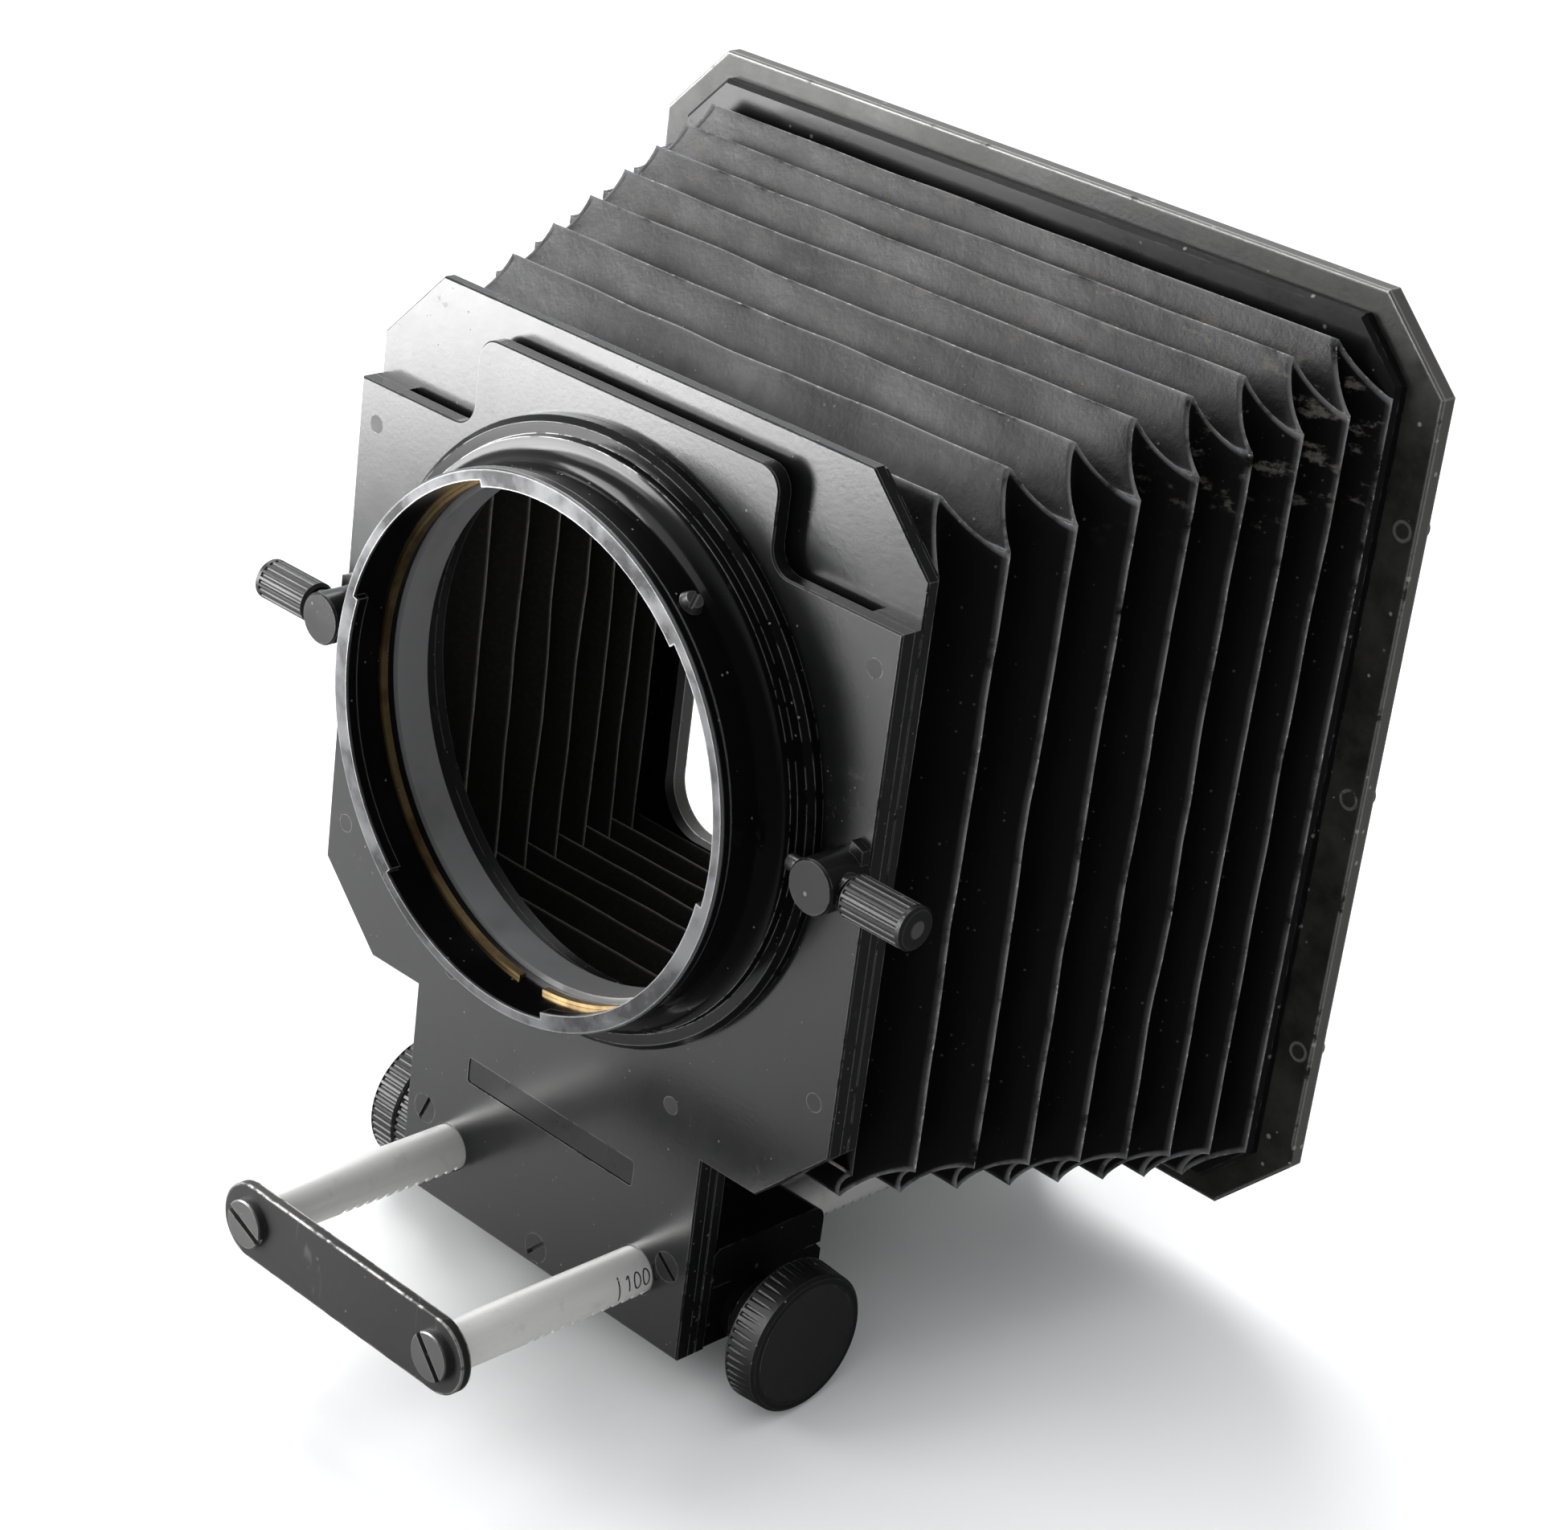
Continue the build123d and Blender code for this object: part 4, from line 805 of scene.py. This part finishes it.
def bellows_tube(steps, share, side, inset):
    """Points of the folded tube.

    steps runs along the tube in half folds and share along each of its four sides. At whole even
    steps the sides stand out and the top and bottom are drawn in by the fold depth; at odd steps it
    is the other way round. The corners between sag inward, and the folds waver a little.
    """
    t = steps[:, None] / FOLD_STEPS
    y = bellows_low.y + bellows_length * (t + FOLD_GATHER * t * (1 - t))
    taper = (y - bellows_low.y) / bellows_length
    from_even = np.abs(steps - 2 * np.round(steps / 2))[:, None]
    side_depth, top_depth = fold_depth_at(from_even), fold_depth_at(1 - from_even)
    size = {k: front_sizes[k] + (back_sizes[k] - front_sizes[k]) * taper for k in front_sizes}
    half = size["half"] - FOLD_DEPTH * side_depth - inset
    top = size["top"] - FOLD_DEPTH * top_depth - inset
    bottom = size["bottom"] + FOLD_DEPTH * top_depth + inset
    right, over, left = side == 0, side == 1, side == 2
    x = np.where(right, half, np.where(over, half * (1 - 2 * share), -half))
    x = np.where(side == 3, half * (2 * share - 1), x)
    z = np.where(right, bottom + (top - bottom) * share, top)
    z = np.where(left, top + (bottom - top) * share, z)
    z = np.where(side == 3, bottom, z)
    ends = np.sin(pi * np.clip(steps, 0, FOLD_STEPS) / FOLD_STEPS)[:, None] ** 0.35
    # The corners draw in between the folds.
    width = np.where(over | (side == 3), 2 * half, top - bottom)
    from_corner = np.minimum(share, 1 - share) * width
    between = np.sin(pi * (steps % 1.0))[:, None]
    drawn = CORNER_DRAW * between * np.exp(-from_corner / CORNER_REACH) * ends
    x = x - np.sign(x) * drawn * np.where(np.abs(x) > half - CORNER_ZONE, 1.0, 0.0)
    z = z - np.sign(z) * drawn
    # The cloth wavers along its folds, and sags between its corners.
    belly = np.sin(pi * share)
    around = side + share
    wave = slow_wave(around * 1.4, steps[:, None] * 0.9, 6, 3) * belly**0.5 * ends
    fine = slow_wave(around * 6.0, steps[:, None] * 2.1, 5, 5) * belly**0.5 * ends
    y = y + (WAVER * wave + FINE_WAVER * fine) * np.ones_like(x)
    billow = slow_wave(around * 2.6, steps[:, None] * 0.7, 6, 11)
    out = BILLOW * billow * belly * ends - SAG * belly * ends
    x = x + np.where(right, out, 0) - np.where(left, out, 0)
    z = z + np.where(over, out, 0) - np.where(side == 3, out, 0)
    marks = {
        "from_even": from_even + 0 * x,
        "from_corner": from_corner + 0 * x,
        "upright": (right | left) + 0 * x,
    }
    return np.stack([x, y, z], -1), marks


def make_bellows():
    """The cloth as one closed shell: the outside from front to back, then the lining back again."""
    side_points, step_points = 46, 13
    even = np.arange(side_points) / side_points
    clustered = (1 - np.cos(pi * even)) / 2 * 0.55 + even * 0.45
    share = np.tile(clustered, CORNERS)[None, :]
    side = np.repeat(np.arange(CORNERS), side_points)[None, :]
    inner = (1 - np.cos(pi * np.arange(step_points) / step_points)) / 2
    steps = (np.arange(FOLD_STEPS)[:, None] + inner[None, :]).ravel()
    steps = np.append(steps, FOLD_STEPS)
    outside, marks = bellows_tube(steps, share, side, 0.0)
    inside, _ = bellows_tube(steps, share, side, CLOTH)
    # ridge is near 1 on the fold ridges and at the corners, where the cloth is drawn lighter,
    # partly as wear and partly as a painted highlight. depth runs from 0 on a ridge to 1 in a
    # valley, and the outside's valleys are drawn darker as painted shade.
    from_ridge = np.where(marks["upright"] > 0.5, marks["from_even"], 1 - marks["from_even"])
    ridge = np.exp(-((from_ridge / 0.045) ** 2))
    ridge = np.maximum(ridge, 0.9 * np.exp(-((marks["from_corner"] / 0.4) ** 2)))
    ridge = np.concatenate([ridge, 0 * ridge])
    depth = np.concatenate([from_ridge, from_ridge[::-1]])
    points = np.concatenate([outside, inside[::-1]])
    rows, columns = len(points), share.size
    faces = grid_faces(rows, columns, True, True)
    lining = np.repeat(np.arange(rows) >= len(steps) - 1, columns)
    made = mesh_piece(
        "bellows_cloth",
        points,
        faces,
        [leatherette_finish(), lining_finish()],
        lining,
        {"ridge": ridge, "depth": depth},
    )
    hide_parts("bellows")
    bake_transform(made)
    return made


make_bellows()

# Coil springs of the two catches

SPRING_WIRE = 0.3
SPRING_TURNS = 3
STEPS_PER_TURN = 30
WIRE_SIDES = 8


def make_catch_spring(side):
    """A round wire on a helix about the catch pin.

    The wire's middle line is x from one end to the other in proportion to the turn, with y and z
    the cosine and sine of the turn times the coil's radius. Around it lies a circle in the plane of
    the outward direction and X. Both ends are drawn together to a point.
    """
    low, high = (Vector(c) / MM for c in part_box(f"catch_spring_{side}"))
    start, end = low.x + SPRING_WIRE / 2, high.x - SPRING_WIRE / 2
    coil_radius = (high.z - low.z - SPRING_WIRE) / 2
    share = np.linspace(0, 1, STEPS_PER_TURN * SPRING_TURNS + 1)
    turn = 2 * pi * SPRING_TURNS * share
    thickness = np.full(len(share), SPRING_WIRE / 2)
    thickness[[0, -1]] = 0
    around = np.linspace(0, 2 * pi, WIRE_SIDES + 1)[:-1]
    radius = coil_radius + thickness[:, None] * np.cos(around)
    x = (start + (end - start) * share)[:, None] + thickness[:, None] * np.sin(around)
    y = (low.y + high.y) / 2 + radius * np.cos(turn)[:, None]
    z = (low.z + high.z) / 2 + radius * np.sin(turn)[:, None]
    points = np.stack([x, y, z], -1)
    faces = grid_faces(len(share), WIRE_SIDES, False, True)
    made = mesh_piece(f"catch_coil_{side}", points, faces, [steel_finish()])
    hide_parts(f"catch_spring_{side}")
    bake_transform(made)


make_catch_spring("left")
make_catch_spring("right")

# Scale on the right-hand rod: an index line and the numeral 100

rod_low, rod_high = (Vector(c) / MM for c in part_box("rod_right"))
rod_x, rod_radius = (rod_low.x + rod_high.x) / 2, (rod_high.x - rod_low.x) / 2
rod_z = rod_high.z - rod_radius


def stroke_on_rod(places, closed, width=0.2, cut=0.03, stand=0.006):
    """A flat filled line on the rod: places are (y, angle from +X in radians) along it, and its
    section is a thin rectangle that stands a hair proud; open ends are drawn together."""
    y, arc = places[:, 0], places[:, 1] * rod_radius
    line = np.stack([y, arc], -1)
    if closed:
        ahead = np.roll(line, -1, 0) - np.roll(line, 1, 0)
    else:
        ahead = np.gradient(line, axis=0)
    ahead /= np.linalg.norm(ahead, axis=1, keepdims=True)
    beside = np.stack([-ahead[:, 1], ahead[:, 0]], -1) * width / 2
    section = []
    for sign, height in ((1, stand), (-1, stand), (-1, -cut), (1, -cut)):
        flat = line + sign * beside
        angle = flat[:, 1] / rod_radius
        radius = rod_radius + height
        x, z = rod_x + radius * np.cos(angle), rod_z + radius * np.sin(angle)
        section.append(np.stack([x, flat[:, 0], z], -1))
    rings = np.stack(section, 1)
    if not closed:
        first, last = rings[:1].mean(1, keepdims=True), rings[-1:].mean(1, keepdims=True)
        rings = np.concatenate([np.repeat(first, 4, 1), rings, np.repeat(last, 4, 1)])
    return rings, grid_faces(len(rings), 4, closed, True)


INDEX_Y, ONE_Y, ZERO_YS = -5.15, -3.55, (-2.25, -0.85)
ZERO_HALF_WIDTH = 0.48


def make_rod_scale():
    """The index line and the numeral as strokes that wrap round the rod, each a run of points of
    place along the rod and angle about it; a zero is an ellipse in those two."""
    upright = np.linspace(-1, 1, 12)
    turn = np.linspace(0, 2 * pi, 33)[:-1]
    middle_angle, half_height = radians(17), radians(19)
    round_zero = ZERO_HALF_WIDTH * np.cos(turn), middle_angle + half_height * np.sin(turn)
    zero = np.stack(round_zero, -1)
    index = np.stack([INDEX_Y + 0 * upright, radians(13) + radians(29) * upright], -1)
    one = np.stack([ONE_Y + 0 * upright, middle_angle + half_height * upright], -1)
    flag = one[-1] + np.array([[-0.4, -0.13], [-0.2, -0.05], [0.0, 0.0]])
    strokes = [
        (index, False),
        (one, False),
        (flag, False),
        *((zero + np.array([y, 0]), True) for y in ZERO_YS),
    ]
    points, faces, start = [], [], 0
    for places, closed in strokes:
        rings, quads = stroke_on_rod(places, closed)
        points.append(rings.reshape(-1, 3))
        faces.append(quads + start)
        start += rings.size // 3
    made = mesh_piece(
        "rod_scale", np.concatenate(points), np.concatenate(faces), [engraving_finish()]
    )
    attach(made, "carriage")
    return made


make_rod_scale()
